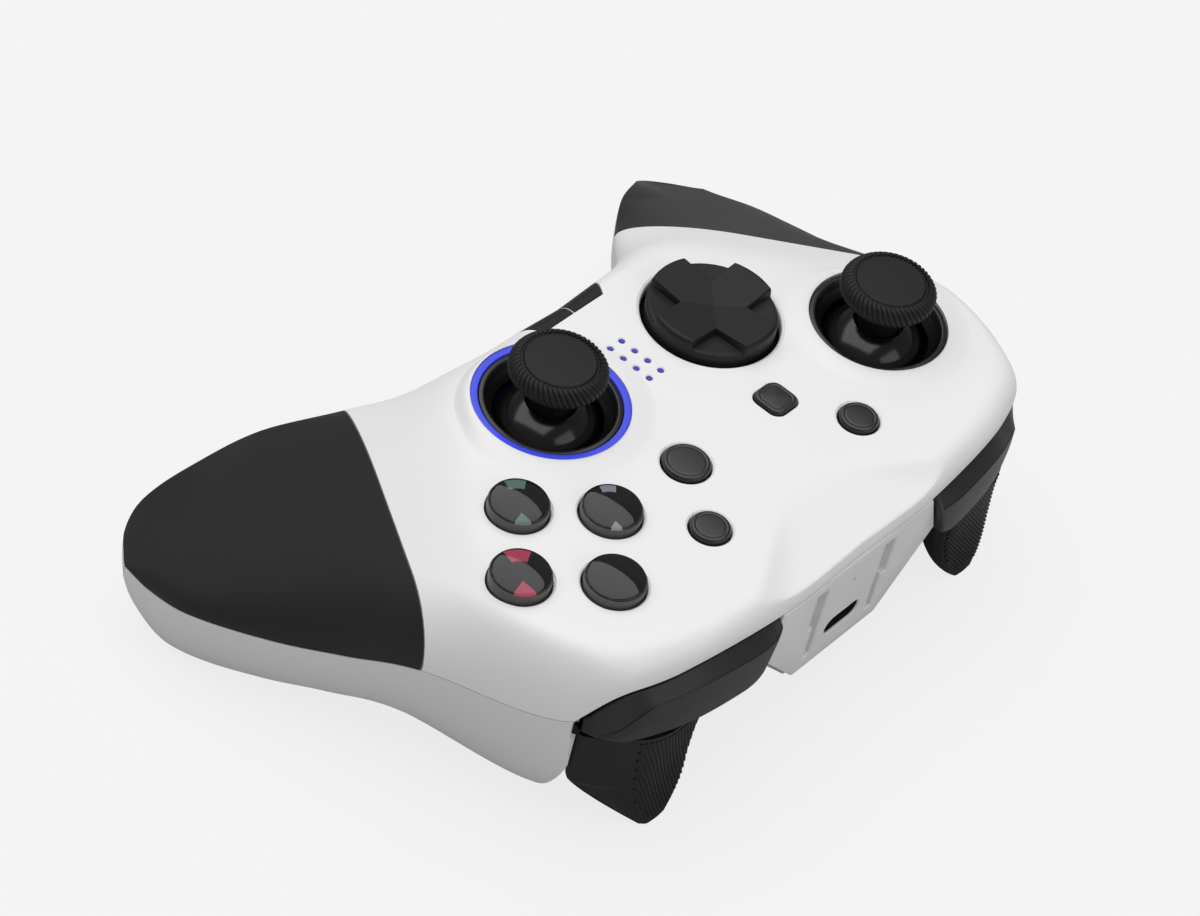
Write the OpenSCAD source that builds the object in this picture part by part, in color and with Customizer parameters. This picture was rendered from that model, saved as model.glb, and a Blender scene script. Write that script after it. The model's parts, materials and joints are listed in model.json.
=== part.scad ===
// Two-handed game controller: moulded shells, grip covers, sticks, pads, bumpers and triggers.
// Drawn with the flat face at z = 0, x to the user's right, y away from the user.
// posed() then tips the finished pieces so that they stand on the grips and the trigger tips.

/* [Body] */
// Half of the width over the grips
half_width = 78; // [74:0.5:84]
// Distance from the right stick to the front panel
front_y = 54.5; // [52:0.5:58]
// Distance from the right stick to the edge nearest the user
back_y = -17.5; // [-20:0.5:-16]
// Furthest reach of the grips towards the user
grip_y = -46.3; // [-52:0.5:-43]
// Lowest level of the grips below the face
grip_depth = 48.3; // [45:0.5:54]
// Level of the belly under the battery
belly_depth = 32.5; // [31:0.5:36]
// Slope at which the face falls towards the grips
fall_slope = 0.633; // [0.55:0.01:0.68]
// Wall of the moulded shells
wall = 2.2; // [1.8:0.1:2.6]
// Open line between shells that meet
seam_gap = 0.2; // [0.1:0.05:0.3]
// Clearance round pieces that move
run_gap = 0.3; // [0.2:0.05:0.4]
// Radial clearance of pins in their bores
pin_gap = 0.05; // [0.03:0.01:0.08]

/* [Sticks] */
// Distance of the right stick from the middle
stick_right_x = 19.3; // [18:0.1:22]
// Distance of the left stick from the middle
stick_left_x = 41.7; // [40:0.1:44]
// Height of the left stick and the button group up the face
cluster_y = 23.6; // [22:0.1:26]
// Diameter of the dark ring round a stick
ring_d = 25; // [24:0.1:26]
// Width of the light ring outside it
light_w = 1.25; // [1:0.05:1.5]
// Opening in the dark ring
ring_hole_d = 19.3; // [19:0.1:20]
// Radius of the dome under the cap
dome_r = 10.4; // [10.2:0.05:10.5]
// Depth of the tilt centre below the face
pivot_depth = 9; // [8.5:0.1:9.5]
// Diameter of the thumb cap
cap_d = 17.3; // [16:0.1:18.5]
// Height of the cap's top above the face
cap_top = 10.1; // [9:0.1:11]
// Diameter of the shaft
shaft_d = 3.6; // [3:0.1:3.8]
// Depth of the stick click
click = 0.5; // [0.3:0.1:0.6]

/* [Buttons] */
// Distance of the round button group from the middle
cluster_x = 41.7; // [40:0.1:43]
// Half spacing of the group across
pitch_x = 11.2; // [10.8:0.1:11.6]
// Half spacing of the group up the face
pitch_y = 10.7; // [10.4:0.1:11.2]
// Diameter of a face button
button_d = 10.5; // [9.5:0.1:11]
// Height of a face button above the face
button_rise = 2.2; // [1.8:0.1:2.6]
// Travel of a face button
button_travel = 1.5; // [1:0.1:1.6]
// Diameter of the home button
home_d = 8.4; // [7.5:0.1:9]
// Distance of the home and capture buttons from the middle
home_x = 11.9; // [11:0.1:13]
// Side of the square capture button
capture_w = 6.4; // [6:0.1:7]
// Diameter of the plus and minus buttons
menu_d = 7; // [6:0.1:7.6]
// Distance of the plus and minus buttons from the middle
menu_x = 20; // [19:0.1:21]
// Distance of the plus and minus buttons from the front panel
menu_inset = 18; // [17.5:0.1:18.5]
// Height of the small buttons above the face
small_rise = 0.8; // [0.5:0.1:1]
// Travel of the small buttons and function keys
small_travel = 0.7; // [0.4:0.1:0.8]
// Length of one function key along the user's edge
key_l = 11; // [9:0.5:12]
// Diameter of an indicator light
led_d = 1; // [0.8:0.1:1.3]
// Spacing of the indicator lights
led_pitch = 3; // [2.6:0.1:3.4]

/* [Direction pad] */
// Distance of the pad from the middle
pad_x = 18.9; // [18:0.1:20]
// Place of the pad up the face
pad_y = 3.6; // [3:0.1:4.2]
// Diameter of the disc
pad_d = 23.6; // [22:0.1:24.2]
// Width of the raised arms
pad_arm_w = 8.6; // [7.5:0.1:10]
// Gap round the disc
pad_gap = 0.8; // [0.6:0.1:1]

/* [Front] */
// Half width of the front panel at its top
panel_half = 20.3; // [19.5:0.1:21]
// Half width of the front panel at its foot
panel_foot = 11.4; // [10.5:0.1:12.5]
// Depth of the foot of the front panel
panel_depth = 27.7; // [26:0.1:28.5]
// Depth of the charging socket below the face
usb_depth = 20.8; // [20:0.1:21.5]
// Width of the charging opening
usb_w = 8.9; // [8.4:0.1:9.4]
// Height of the charging opening
usb_h = 3.2; // [3:0.1:3.4]
// Depth of the lower edge of the bumpers
bumper_depth = 17; // [16.5:0.1:17.3]
// How far the bumpers stand out past the shell
bumper_out = 2.3; // [2:0.1:2.6]
// Inner side of the triggers
trigger_x = 34.4; // [34:0.1:36]
// Outer side of the triggers
trigger_end_x = 56.6; // [55.5:0.1:56.8]
// Depth of the trigger tips
trigger_depth = 40.2; // [38:0.1:42]
// Diameter of the trigger pins
trigger_pin_d = 2.5; // [2:0.1:3]
// Pull angle of the triggers
trigger_pull = 18; // [12:1:18]

/* [Inside] */
// Depth of the upper side of the circuit board
board_depth = 14.5; // [14.2:0.1:15]
// Thickness of the circuit board
board_t = 1.6; // [1.2:0.1:1.8]
// Width of the battery
battery_w = 50; // [40:1:52]
// Length of the battery
battery_l = 34; // [26:1:35]
// Thickness of the battery
battery_t = 7.6; // [6:0.1:8]
// Diameter of a vibration motor
motor_d = 12.5; // [10:0.5:13]
// Length of a vibration motor
motor_l = 11; // [9:0.5:11.5]
// Radius of the motor's eccentric weight
weight_r = 6.5; // [5:0.5:6.5]

/* [Hidden] */
$fn = 64;

menu_y = front_y - menu_inset;

// Stations of the body: 0 at the middle, 1 at the grip seam, 2 at the grip's tip.
// Each row of values below holds one number for each station.
station = [0, 0.25, 0.5, 0.75, 1, 1.25, 1.5, 1.75, 1.9, 2];
// Parting line on the user's side and round the inner side of the grip
tip_x = half_width - 1;
tip_y = grip_y + 7.3;
tip_z = -34.2;
inner_x = [0, 10, 19.5, 28.5, 36, half_width - 31, half_width - 20.5, half_width - 12, half_width - 6, tip_x];
inner_y = [back_y, back_y - 0.5, back_y - 2.4, back_y - 6.2, back_y - 12.8,
    grip_y + 8.6, grip_y + 3.8, grip_y, grip_y + 2, tip_y];
inner_z = [-13, -13, -13.5, -14.8, -17, -19.5, -24.5, -31, -33.6, tip_z];
// Parting line along the front and round the outer side of the grip
rim_z = -5.3;
shoulder_x = 58.5;
shoulder_y = front_y - 11.5;
outer_x = [0, panel_half, 44, shoulder_x, 67,
    half_width - 8, half_width - 4, half_width, half_width - 0.3, tip_x];
outer_y = [front_y, front_y, front_y - 3, shoulder_y, 18.5, 5, -8, -23, -32.5, tip_y];
outer_z = [rim_z, rim_z, rim_z, -13.7, -17, -23.3, -28, -31.7, -34, tip_z];
// Above the bumper the edge stays high and then drops quickly to the shoulder
corner_lift = 3.65;
corner_from = 0.5;
corner_to = 0.745;
corner_skew = 1.6;
// Width of the rounding above the parting line
top_round_in = [5, 5, 9, 14.5, 23, 26, 26, 22, 15, 8];
top_round_out = [4, 4, 5, 8, 13, 17, 18.5, 17.5, 13, 8];
// Level of the underside, and the width of its rounding
belly_z = [-belly_depth, -belly_depth, -belly_depth - 0.5, 3 - 0.8 * grip_depth, 10 - grip_depth,
    4.5 - grip_depth, 0.3 - grip_depth, -grip_depth, 5 - grip_depth, -36.5];
belly_round_in = [16, 16, 17, 18, 20, 20, 20, 18, 14, 8];
belly_round_out = [1.5, 2, 4, 6.5, 17, 19, 19, 17.5, 13, 8];
belly_rise_y = 40;
belly_rise = 0.3;
// The face is flat up to fall_start along fall_dir and then falls to the grips
fall_dir = [0.763, -0.647];
fall_start = 30.3;
fall_round = 3.5;
edge_power = 2.2;

// Sections along the shells and points across them
body_steps = 11;
grip_steps = 10;
across = 18;
tip_end = 0.996;

function spline_i(s, k = 0) = k >= len(station) - 2 || s < station[k + 1] ? k : spline_i(s, k + 1);
function slope(v, k) =
    let (a = max(0, k - 1), b = min(len(station) - 1, k + 1)) (v[b] - v[a]) / (station[b] - station[a]);
function spline(s, v) =
    let (k = spline_i(s), h = station[k + 1] - station[k], t = (s - station[k]) / h)
    (1 + 2 * t) * pow(1 - t, 2) * v[k] + t * pow(1 - t, 2) * h * slope(v, k)
    + t * t * (3 - 2 * t) * v[k + 1] + t * t * (t - 1) * h * slope(v, k + 1);
function soft(d, c) = (sqrt(d * d + c * c) + d) / 2;
function face_level(x, y) =
    -fall_slope * soft(fall_dir[0] * abs(x) + fall_dir[1] * y - fall_start, fall_round);
function edge_rise(t) = pow(1 - pow(1 - min(1, max(0, t)), edge_power), 1 / edge_power);
function inner_edge(s) = [spline(s, inner_x), spline(s, inner_y), spline(s, inner_z)];
function corner(s) =
    let (u = min(1, max(0, (s - corner_from) / (corner_to - corner_from))))
    corner_lift * sin(180 * pow(u, corner_skew));
function outer_edge(s) = [spline(s, outer_x), spline(s, outer_y), spline(s, outer_z) + corner(s)];
function flat(p) = [p[0], p[1]];
function unit(v) = v / norm(v);
// Sum of scaled round-offs never passes the width of the section
function fit(r, other, l) = max(0.01, r * min(1, l / (r + other)));

// One cross-section of the top (up) or the underside, inset by t for its inner face
function section(s, up, t, lift) =
    let (
        b = inner_edge(s), f = outer_edge(s), l = norm(flat(f - b)),
        ri = spline(s, up ? top_round_in : belly_round_in),
        ro = spline(s, up ? top_round_out : belly_round_out),
        fi = fit(ri, ro, l), fo = fit(ro, ri, l),
        grip = (inner_edge(1) + outer_edge(1)) / 2,
        tip = [tip_x, tip_y, tip_z],
        middle = (b + f) / 2,
        pull = s > 1 ? t / norm(flat(tip - grip)) : 0,
        span = norm(flat(outer_edge(min(s, 1)) - inner_edge(min(s, 1)))),
        half = (f - b) / 2 * (1 - t / max(span / 2, 2 * t))
    )
    [for (k = [0:across])
        let (
            w = (1 - cos(180 * k / across)) / 2,
            p = b + (f - b) * w,
            e = edge_rise(w * l / fi) * edge_rise((1 - w) * l / fo),
            level = up ? face_level(p[0], p[1])
                : spline(s, belly_z) + belly_rise * max(0, p[1] - belly_rise_y),
            h = (level - p[2]) * e,
            m = middle + (grip - middle) * pull,
            q = m + half * (2 * w - 1)
        )
        [q[0], q[1], p[2] + lift + (up ? max(0, h - t) : min(0, h + t))]
    ];
function flip(p) = [-p[0], p[1], p[2]];
function reach(s, up, t, lift) =
    s < 0 ? [for (p = section(-s, up, t, lift)) flip(p)] : section(s, up, t, lift);
function body_s() = [for (i = [0:body_steps]) i / body_steps];
function grip_s(from) = [for (i = [0:grip_steps]) from + (1 + tip_end - from) * sin(90 * i / grip_steps)];
function both_sides(list) =
    concat([for (i = [len(list) - 1:-1:1]) -list[i]], list);
function tail(list) = [for (i = [1:len(list) - 1]) list[i]];

// A closed sheet between an outer and an inner grid of points; turned swaps its sides
module sheet(outer, inner, turned) {
    rows = len(outer);
    cols = len(outer[0]);
    n = rows * cols;
    points = concat([for (r = outer) each r], [for (r = inner) each r]);
    quads = concat(
        [for (i = [0:rows - 2]) for (j = [0:cols - 2])
            [i * cols + j, (i + 1) * cols + j, (i + 1) * cols + j + 1, i * cols + j + 1]],
        [for (i = [0:rows - 2]) for (j = [0:cols - 2])
            [n + i * cols + j, n + i * cols + j + 1, n + (i + 1) * cols + j + 1, n + (i + 1) * cols + j]],
        [for (i = [0:rows - 2]) [i * cols, n + i * cols, n + (i + 1) * cols, (i + 1) * cols]],
        [for (i = [0:rows - 2]) let (a = i * cols + cols - 1) [a, a + cols, n + a + cols, n + a]],
        [for (j = [0:cols - 2]) [j, j + 1, n + j + 1, n + j]],
        [for (j = [0:cols - 2]) let (a = (rows - 1) * cols + j) [a, n + a, n + a + 1, a + 1]]
    );
    tris = [for (q = quads) each [[q[0], q[1], q[2]], [q[0], q[2], q[3]]]];
    polyhedron(points, turned ? [for (f = tris) [f[2], f[1], f[0]]] : tris);
}

// The parting surface under a section, as straight lines from edge to edge
function chord(row) = [for (k = [0:across]) let (w = (1 - cos(180 * k / across)) / 2)
    row[0] + (row[across] - row[0]) * w];

function rows(list, up, t) = [for (s = list) reach(s, up, t, (up ? 1 : -1) * seam_gap / 2)];
module top_sheet(list) {
    sheet(rows(list, true, 0), rows(list, true, wall), true);
}
module bottom_sheet(list) {
    sheet(rows(list, false, 0), rows(list, false, wall), false);
}
// Solid body above or below the parting line, inset by t, that trims ribs and keys to the shell
module solid_part(list, up, t) {
    grid = rows(list, up, t);
    sheet(grid, [for (r = grid) chord(r)], up);
}
whole_s = both_sides(concat(body_s(), tail(grip_s(1))));

// Mirrors a right-hand piece to the left
module side(left) {
    if (left) mirror([1, 0, 0]) children();
    else children();
}
module at_stick(left) {
    translate(left ? [-stick_left_x, cluster_y, 0] : [stick_right_x, 0, 0]) children();
}
module ring(r_out, r_in, z0, z1) {
    rotate_extrude() translate([r_in, z0]) square([r_out - r_in, z1 - z0]);
}
module disc(r, z0, z1) {
    translate([0, 0, z0]) cylinder(r = r, h = z1 - z0);
}
module block(x0, x1, y0, y1, z0, z1) {
    translate([x0, y0, z0]) cube([x1 - x0, y1 - y0, z1 - z0]);
}
module bar_x(x0, x1, y, z, r) {
    translate([x0, y, z]) rotate([0, 90, 0]) cylinder(r = r, h = x1 - x0);
}
module bar_y(y0, y1, x, z, r) {
    translate([x, y1, z]) rotate([90, 0, 0]) cylinder(r = r, h = y1 - y0);
}

// Openings in the face
light_d = ring_d + 2 * light_w;
ring_fit = 0.1;
well_right_d = light_d + 2 * ring_fit;
well_left_d = ring_d + 2 * ring_fit;
pad_hole_d = pad_d + 2 * pad_gap;
rim_w = 2.8;
rim_h = 0.6;
rim_root = 1.7;
// Depth by which the face falls within reach of the flanges under it
face_sag = 1;
cut_top = 4;
cut_bottom = -wall - 12;
led_y = 2.4;
led_hole_gap = 0.1;
boss_r = 2.2;
screw_r = 1;
boss_points = [[27, front_y - 16.1], [36, back_y + 3.5]];
boss_low = -board_depth + 0.3;
boss_hole = boss_low + 5.5;

// Soft raised lip round a stick well
module well_rim(d) {
    rotate_extrude() translate([d / 2, 0]) polygon([
        [-0.4, -rim_root], [-0.4, 0.4 * rim_h], [0.1, 0.8 * rim_h], [0.3 * rim_w, rim_h],
        [0.6 * rim_w, 0.85 * rim_h], [0.85 * rim_w, 0.35 * rim_h], [rim_w, -0.4], [rim_w, -rim_root]
    ]);
}
module rounded_square(w, r, z0, z1) {
    translate([0, 0, z0]) linear_extrude(z1 - z0) {
        square([w - 2 * r, w], center = true);
        square([w, w - 2 * r], center = true);
        for (x = [-1, 1]) for (y = [-1, 1]) translate([x, y] * (w / 2 - r)) circle(r = r);
    }
}
module at_button(i) {
    place = [[1, 0], [-1, 0], [0, 1], [0, -1]];
    translate([cluster_x + place[i][0] * pitch_x, cluster_y + place[i][1] * pitch_y, 0]) children();
}
module at_leds() {
    for (x = [-0.5, 0.5]) for (y = [-1.5:1:1.5])
        translate([x * led_pitch, led_y + y * led_pitch, 0]) children();
}
module at_bosses() {
    for (m = [-1, 1]) for (p = boss_points) translate([m * p[0], p[1], 0]) children();
}
capture_r = 1.8;
home_y = cluster_y + 0.7;

// Function keys on the user's edge, as upright prisms trimmed by the shell
key_in_y = back_y + 5.4;
key_in_l = key_l - 3.5;
key_split = 0.25;
key_low = -8;
key_sections = 0.6;
module key_prism(grow) {
    low = key_low - (grow > 0 ? small_travel + run_gap : 0);
    translate([0, 0, low]) linear_extrude(cut_top - low)
        polygon([
            [key_split - grow, back_y - 2], [key_l + 1.4 + grow, back_y - 2],
            [key_in_l + grow, key_in_y + grow], [key_split - grow, key_in_y + grow]
        ]);
}

// Shallow facet that falls from the face to the middle of the front edge
facet_half_in = 7;
facet_half_out = 24;
facet_in_y = front_y - 12.9;
facet_out_y = front_y - 3.4;
facet_drop = 2.6;
module front_facet() {
    slope_angle = atan2(facet_drop, front_y - facet_in_y);
    translate([0, facet_in_y, 0]) rotate([-slope_angle, 0, 0]) linear_extrude(cut_top)
        polygon([
            [-facet_half_in, 0], [facet_half_in, 0], [facet_half_out, facet_out_y - facet_in_y],
            [facet_half_out, front_y], [-facet_half_out, front_y], [-facet_half_out, facet_out_y - facet_in_y]
        ]);
}

module top_shell() {
    color("whitesmoke") difference() {
        union() {
            top_sheet(both_sides(body_s()));
            at_stick(true) well_rim(well_left_d);
            at_stick(false) well_rim(well_right_d);
            for (left = [false, true]) side(left) for (p = boss_points)
                translate([p[0], p[1], 0]) disc(boss_r, boss_low, face_level(p[0], p[1]) - 0.8 * wall);
        }
        at_stick(true) disc(well_left_d / 2, cut_bottom, cut_top);
        at_stick(false) disc(well_right_d / 2, cut_bottom, cut_top);
        translate([-pad_x, pad_y, 0]) disc(pad_hole_d / 2, cut_bottom, cut_top);
        for (i = [0:3]) at_button(i) disc(button_d / 2 + run_gap, cut_bottom, cut_top);
        translate([home_x, home_y, 0]) disc(home_d / 2 + run_gap, cut_bottom, cut_top);
        translate([-home_x, home_y, 0])
            rounded_square(capture_w + 2 * run_gap, capture_r + run_gap, cut_bottom, cut_top);
        for (m = [-1, 1]) translate([m * menu_x, menu_y, 0]) disc(menu_d / 2 + run_gap, cut_bottom, cut_top);
        at_leds() disc(led_d / 2 + led_hole_gap, cut_bottom, cut_top);
        for (left = [false, true]) side(left) key_prism(seam_gap);
        at_bosses() disc(screw_r + pin_gap, boss_low - 1, boss_hole);
        front_facet();
    }
}

module grip_cover(left) {
    color("#262626") side(left) top_sheet(grip_s(1 + seam_gap / 40));
}

module function_key(left) {
    color("#1c1c1c") side(left) intersection() {
        key_prism(0);
        solid_part(both_sides([for (s = body_s()) if (s < key_sections) s]), true, 0);
    }
}

// Trigger bays on both sides of the front panel
bay_y = shoulder_y + 0.5;
bay_t = 1.6;
bay_deep = -70;
bumper_swing = 0.3;
panel_knee_x = panel_half + 3.5;
panel_knee_z = -14.3;
panel_t = 2.4;
panel_proud = 0.3;
pocket_x0 = trigger_x - 1.4;
pocket_x1 = trigger_end_x + 0.4;
pocket_y = bay_y - 5.3;
pocket_top = -8;
pin_y = bay_y - 0.3;
pin_z = -15.4;
trim = 0.8;

module upright(y0, y1) {
    translate([0, y1, 0]) rotate([90, 0, 0]) linear_extrude(y1 - y0) children();
}
module bay_cut() {
    upright(bay_y, front_y + 10) polygon([
        [panel_half, 0], [panel_half, rim_z], [panel_knee_x, panel_knee_z], [panel_foot, -panel_depth],
        [panel_foot, bay_deep], [half_width, bay_deep], [half_width, 0]
    ]);
    block(pocket_x0, pocket_x1, pocket_y, bay_y + 1, bay_deep, pocket_top);
    block(pocket_x1 - 1, half_width, bay_y - bumper_swing, bay_y + 1, -bumper_depth - 1, pocket_top);
}
module bay_walls() {
    block(panel_foot - bay_t, pocket_x0, bay_y - bay_t, bay_y, bay_deep, 0);
    upright(bay_y - bay_t, front_y - panel_t / 2) polygon([
        [panel_half - bay_t, 0], [panel_half, 0], [panel_half, rim_z], [panel_knee_x, panel_knee_z],
        [panel_foot, -panel_depth], [panel_foot, bay_deep], [panel_foot - bay_t, bay_deep],
        [panel_foot - bay_t, -panel_depth], [panel_knee_x - 1.4 * bay_t, panel_knee_z],
        [panel_half - bay_t, rim_z]
    ]);
    difference() {
        block(pocket_x0 - bay_t, pocket_x1 + bay_t, pocket_y - bay_t, bay_y, bay_deep, pin_z + 5);
        block(pocket_x0, pocket_x1, pocket_y, bay_y + 1, bay_deep - 1, 0);
    }
}

// Ribs, posts and cradles that rise from the floor of the bottom shell
pillar_r = 2;
pillar_points = [[50, 8], [28.6, 33], [12, -8]];
post_r = 3.2;
head_r = 2.1;
head_h = 1.6;
head_seat = -20;
motor_x = 50;
motor_y = -21;
// Height of a motor's axis over the lowest level of the grips
motor_rise = 16.3;
motor_z = motor_rise - grip_depth;
cradle_t = 2;
cradle_w = motor_d + 5;
battery_top = -board_depth - board_t - 2.1;
battery_low = battery_top - battery_t;
battery_y = -1;
usb_board_t = 1.2;
usb_low = -usb_depth - usb_h / 2;
seat_gap = 0.1;
lug_x = panel_knee_x + 2.7;
lug_y = front_y - 4.4;
lug_z0 = -14;
lug_z1 = -11.6;
lug_r = 1.5;

module floor_ribs() {
    for (p = pillar_points) translate([p[0], p[1], 0])
        disc(pillar_r, bay_deep, -board_depth - board_t - seat_gap);
    for (p = boss_points) translate([p[0], p[1], 0]) disc(post_r, bay_deep, boss_low - seam_gap);
    block(battery_w / 2 - 8, battery_w / 2 - 6, battery_y + 2, battery_y + battery_l - 2, bay_deep,
        battery_low - seat_gap);
    translate([5.5, front_y - 7.5, 0]) disc(pillar_r, bay_deep, usb_low - usb_board_t - seat_gap);
    difference() {
        for (x = [motor_x + 1.5, motor_x + motor_l - cradle_t - 1.5])
            block(x, x + cradle_t, motor_y - cradle_w / 2, motor_y + cradle_w / 2, bay_deep, motor_z - 1);
        bar_x(motor_x - 1, motor_x + motor_l + 1, motor_y, motor_z, motor_d / 2 + seat_gap);
    }
}
module floor_cuts() {
    for (p = boss_points) translate([p[0], p[1], 0]) {
        disc(screw_r + 0.2, bay_deep, 0);
        disc(head_r + run_gap, bay_deep, head_seat);
    }
    bar_x(pocket_x0 - 4, pocket_x1 + bay_t - 0.2, pin_y, pin_z, trigger_pin_d / 2 + pin_gap);
}

// Charging opening, reset hole and stepped guide slots of the front panel
slot_x = 7.6;
slot_w = 3.3;
slot_low_w = 1.8;
slot_top = -7.9;
slot_step = -16.6;
slot_foot = -24.5;
slot_deep = 1.5;
reset_z = -11.2;
module stadium(w, h) {
    square([w - h, h], center = true);
    for (m = [-1, 1]) translate([m * (w - h) / 2, 0]) circle(d = h);
}
module panel_cuts() {
    y0 = front_y + panel_proud - slot_deep;
    upright(front_y - 6, front_y + 2) translate([0, -usb_depth]) stadium(usb_w, usb_h);
    upright(y0, front_y + 2) translate([0, reset_z]) circle(r = 0.5);
    for (left = [false, true]) side(left) {
        block(slot_x, slot_x + slot_w, y0, front_y + 2, slot_step, slot_top);
        block(slot_x, slot_x + slot_low_w, y0, front_y + 2, slot_foot, slot_step + 1);
    }
}
module front_panel() {
    upright(front_y - panel_t, front_y + panel_proud) polygon([
        [-panel_half, rim_z - seam_gap], [panel_half, rim_z - seam_gap], [panel_knee_x, panel_knee_z],
        [panel_foot, -panel_depth], [-panel_foot, -panel_depth], [-panel_knee_x, panel_knee_z]
    ]);
}

module bottom_shell() {
    color("gainsboro") difference() {
        union() {
            difference() {
                bottom_sheet(whole_s);
                for (left = [false, true]) side(left) bay_cut();
            }
            front_panel();
            for (left = [false, true]) side(left) block(panel_knee_x - 1.4 * bay_t, lug_x + 2.8,
                lug_y - 2.7, lug_y + 2.8, lug_z0, lug_z1);
            intersection() {
                for (left = [false, true]) side(left) {
                    bay_walls();
                    floor_ribs();
                }
                solid_part(whole_s, false, trim);
            }
        }
        for (left = [false, true]) side(left) {
            floor_cuts();
            translate([lug_x, lug_y, 0]) disc(lug_r + pin_gap, lug_z0 - 1, lug_z1 + 1);
        }
        panel_cuts();
    }
}

// Bumper: a bent skin that follows the front edge from the panel to the shoulder
bumper_from = panel_half + 0.9;
bumper_to = 57.4;
bumper_steps = 18;
bumper_t = 2.2;
bumper_top = 0.6;
crease_drop = 2.6;
function edge_s(x, lo = 0.2, hi = 0.8, n = 24) =
    n == 0 ? (lo + hi) / 2
    : let (m = (lo + hi) / 2) spline(m, outer_x) < x ? edge_s(x, m, hi, n - 1) : edge_s(x, lo, m, n - 1);
function edge_out(s) =
    let (d = unit(flat(outer_edge(s + 0.01) - outer_edge(s - 0.01)))) [-d[1], d[0]];
// The top edge sinks towards the tip, so that it clears the shell as the bumper swings
corner_clear = 0.7;
// Lower edge: beside the panel's slanted side, then level, then up to the tip
function bumper_low(x, t) =
    let (lean = (panel_knee_z - rim_z) / (panel_knee_x - panel_half), over = x - panel_knee_x - 0.4)
    over < 0 ? panel_knee_z + lean * over
    : panel_knee_z - (bumper_depth + panel_knee_z) * edge_rise(over / 5)
        + 2.7 * pow(max(0, t - 0.85) / 0.15, 1.5);
function bumper_row(t) =
    let (
        x = bumper_from + (bumper_to - bumper_from) * t,
        s = edge_s(x), p = outer_edge(s), n = edge_out(s), top = p[2] - bumper_top - corner_clear * pow(t, 4),
        grow = edge_rise(t / 0.24),
        drop = min(0.4 + (crease_drop - 0.4) * grow, 2.6 - 2 * pow(t, 6)),
        low = min(bumper_low(x, t), top - drop - 0.5),
        out = (0.4 + (bumper_out - 0.4) * grow) * (1 - 0.6 * pow(t, 5)),
        skin = bumper_t * (1 - 0.6 * pow(t, 6)),
        deep = min(1.2, (top - low) * 0.35),
        shape = [
            [-skin, top], [-0.1, top], [out, top - drop], [out + 0.25, (top - drop) * 0.4 + low * 0.6],
            [out + 0.1, low + 0.3], [out - 0.3, low], [out - skin, low],
            [out - skin, min(top - drop * 0.8, low + (top - low) * 0.6)], [-skin, top - deep]
        ]
    )
    [for (q = shape) [p[0] + n[0] * q[0], p[1] + n[1] * q[0], q[1]]];
// Closed loft through rings of points
module loft(rows) {
    n = len(rows[0]);
    last = (len(rows) - 1) * n;
    sides = [for (i = [0:len(rows) - 2]) for (j = [0:n - 1]) let (k = (j + 1) % n)
        each [[i * n + j, i * n + k, (i + 1) * n + k], [i * n + j, (i + 1) * n + k, (i + 1) * n + j]]];
    ends = [[for (j = [n - 1:-1:0]) j], [for (j = [0:n - 1]) last + j]];
    polyhedron([for (r = rows) each r], concat(sides, ends));
}
module bumper(left) {
    color("#2b2b2b") side(left) {
        loft([for (i = [0:bumper_steps]) bumper_row(pow(i / bumper_steps, 1.5))]);
        translate([lug_x, lug_y, 0]) disc(lug_r, lug_z0 - 0.5, rim_z - 2.5);
        block(lug_x - 1, lug_x + 1, lug_y + 0.5, front_y + 1, lug_z1 + run_gap, rim_z - 2.5);
    }
}

// Trigger: a curved blade on a hub that turns on its pin
blade_top = -bumper_depth - 0.6;
blade_steps = 12;
hub_r = 3.2;
hub_end_x = 49;
face_edge_x = 44.8;
ear_w = 2;
ear_h = 2.1;
magnet_r = 1.5;
magnet_t = 1.2;
magnet_z = -17.8;
magnet_x = 44;
magnet_y = pin_y - 2;
function blade_row(q, shrink) =
    let (
        z = blade_top - (trigger_depth + blade_top) * q,
        yf = front_y - 0.9 - 3.2 * q + 4.1 * q * q,
        back_in = pin_y - 1.2 + 11.6 * pow(q, 1.15),
        back_out = pin_y - 0.5 + 10.6 * pow(max(0, (q - 0.45) / 0.55), 1.2),
        xi = trigger_x + 6.5 * pow(q, 5),
        xo = trigger_end_x - 10.2 * pow(max(0, (q - 0.5) / 0.5), 1.2),
        xf = face_edge_x + 5 * q - 4.8 * pow(q, 6),
        yo = max(back_out + 0.4, shoulder_y + 1.6),
        r = min(2.4, (yf - back_in) * 0.45),
        c = [(xi + xo) / 2, (yf + max(back_in, back_out)) / 2],
        shape = [
            [xi, back_in], [xo - 0.6, back_out], [xo, back_out + 0.4], [xo - 0.2, yo],
            [xf + (xo - xf) * 0.62, yo + (yf - yo) * 0.55], [xf + (xo - xf) * 0.25, yo + (yf - yo) * 0.9],
            [xf, yf], [xf - 2.2, yf + 0.15], [xi + r, yf], [xi + 0.3 * r, yf - 0.3 * r], [xi, yf - r]
        ]
    )
    [for (p = shape) let (d = c + (p - c) * shrink) [d[0], d[1], z]];
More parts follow.
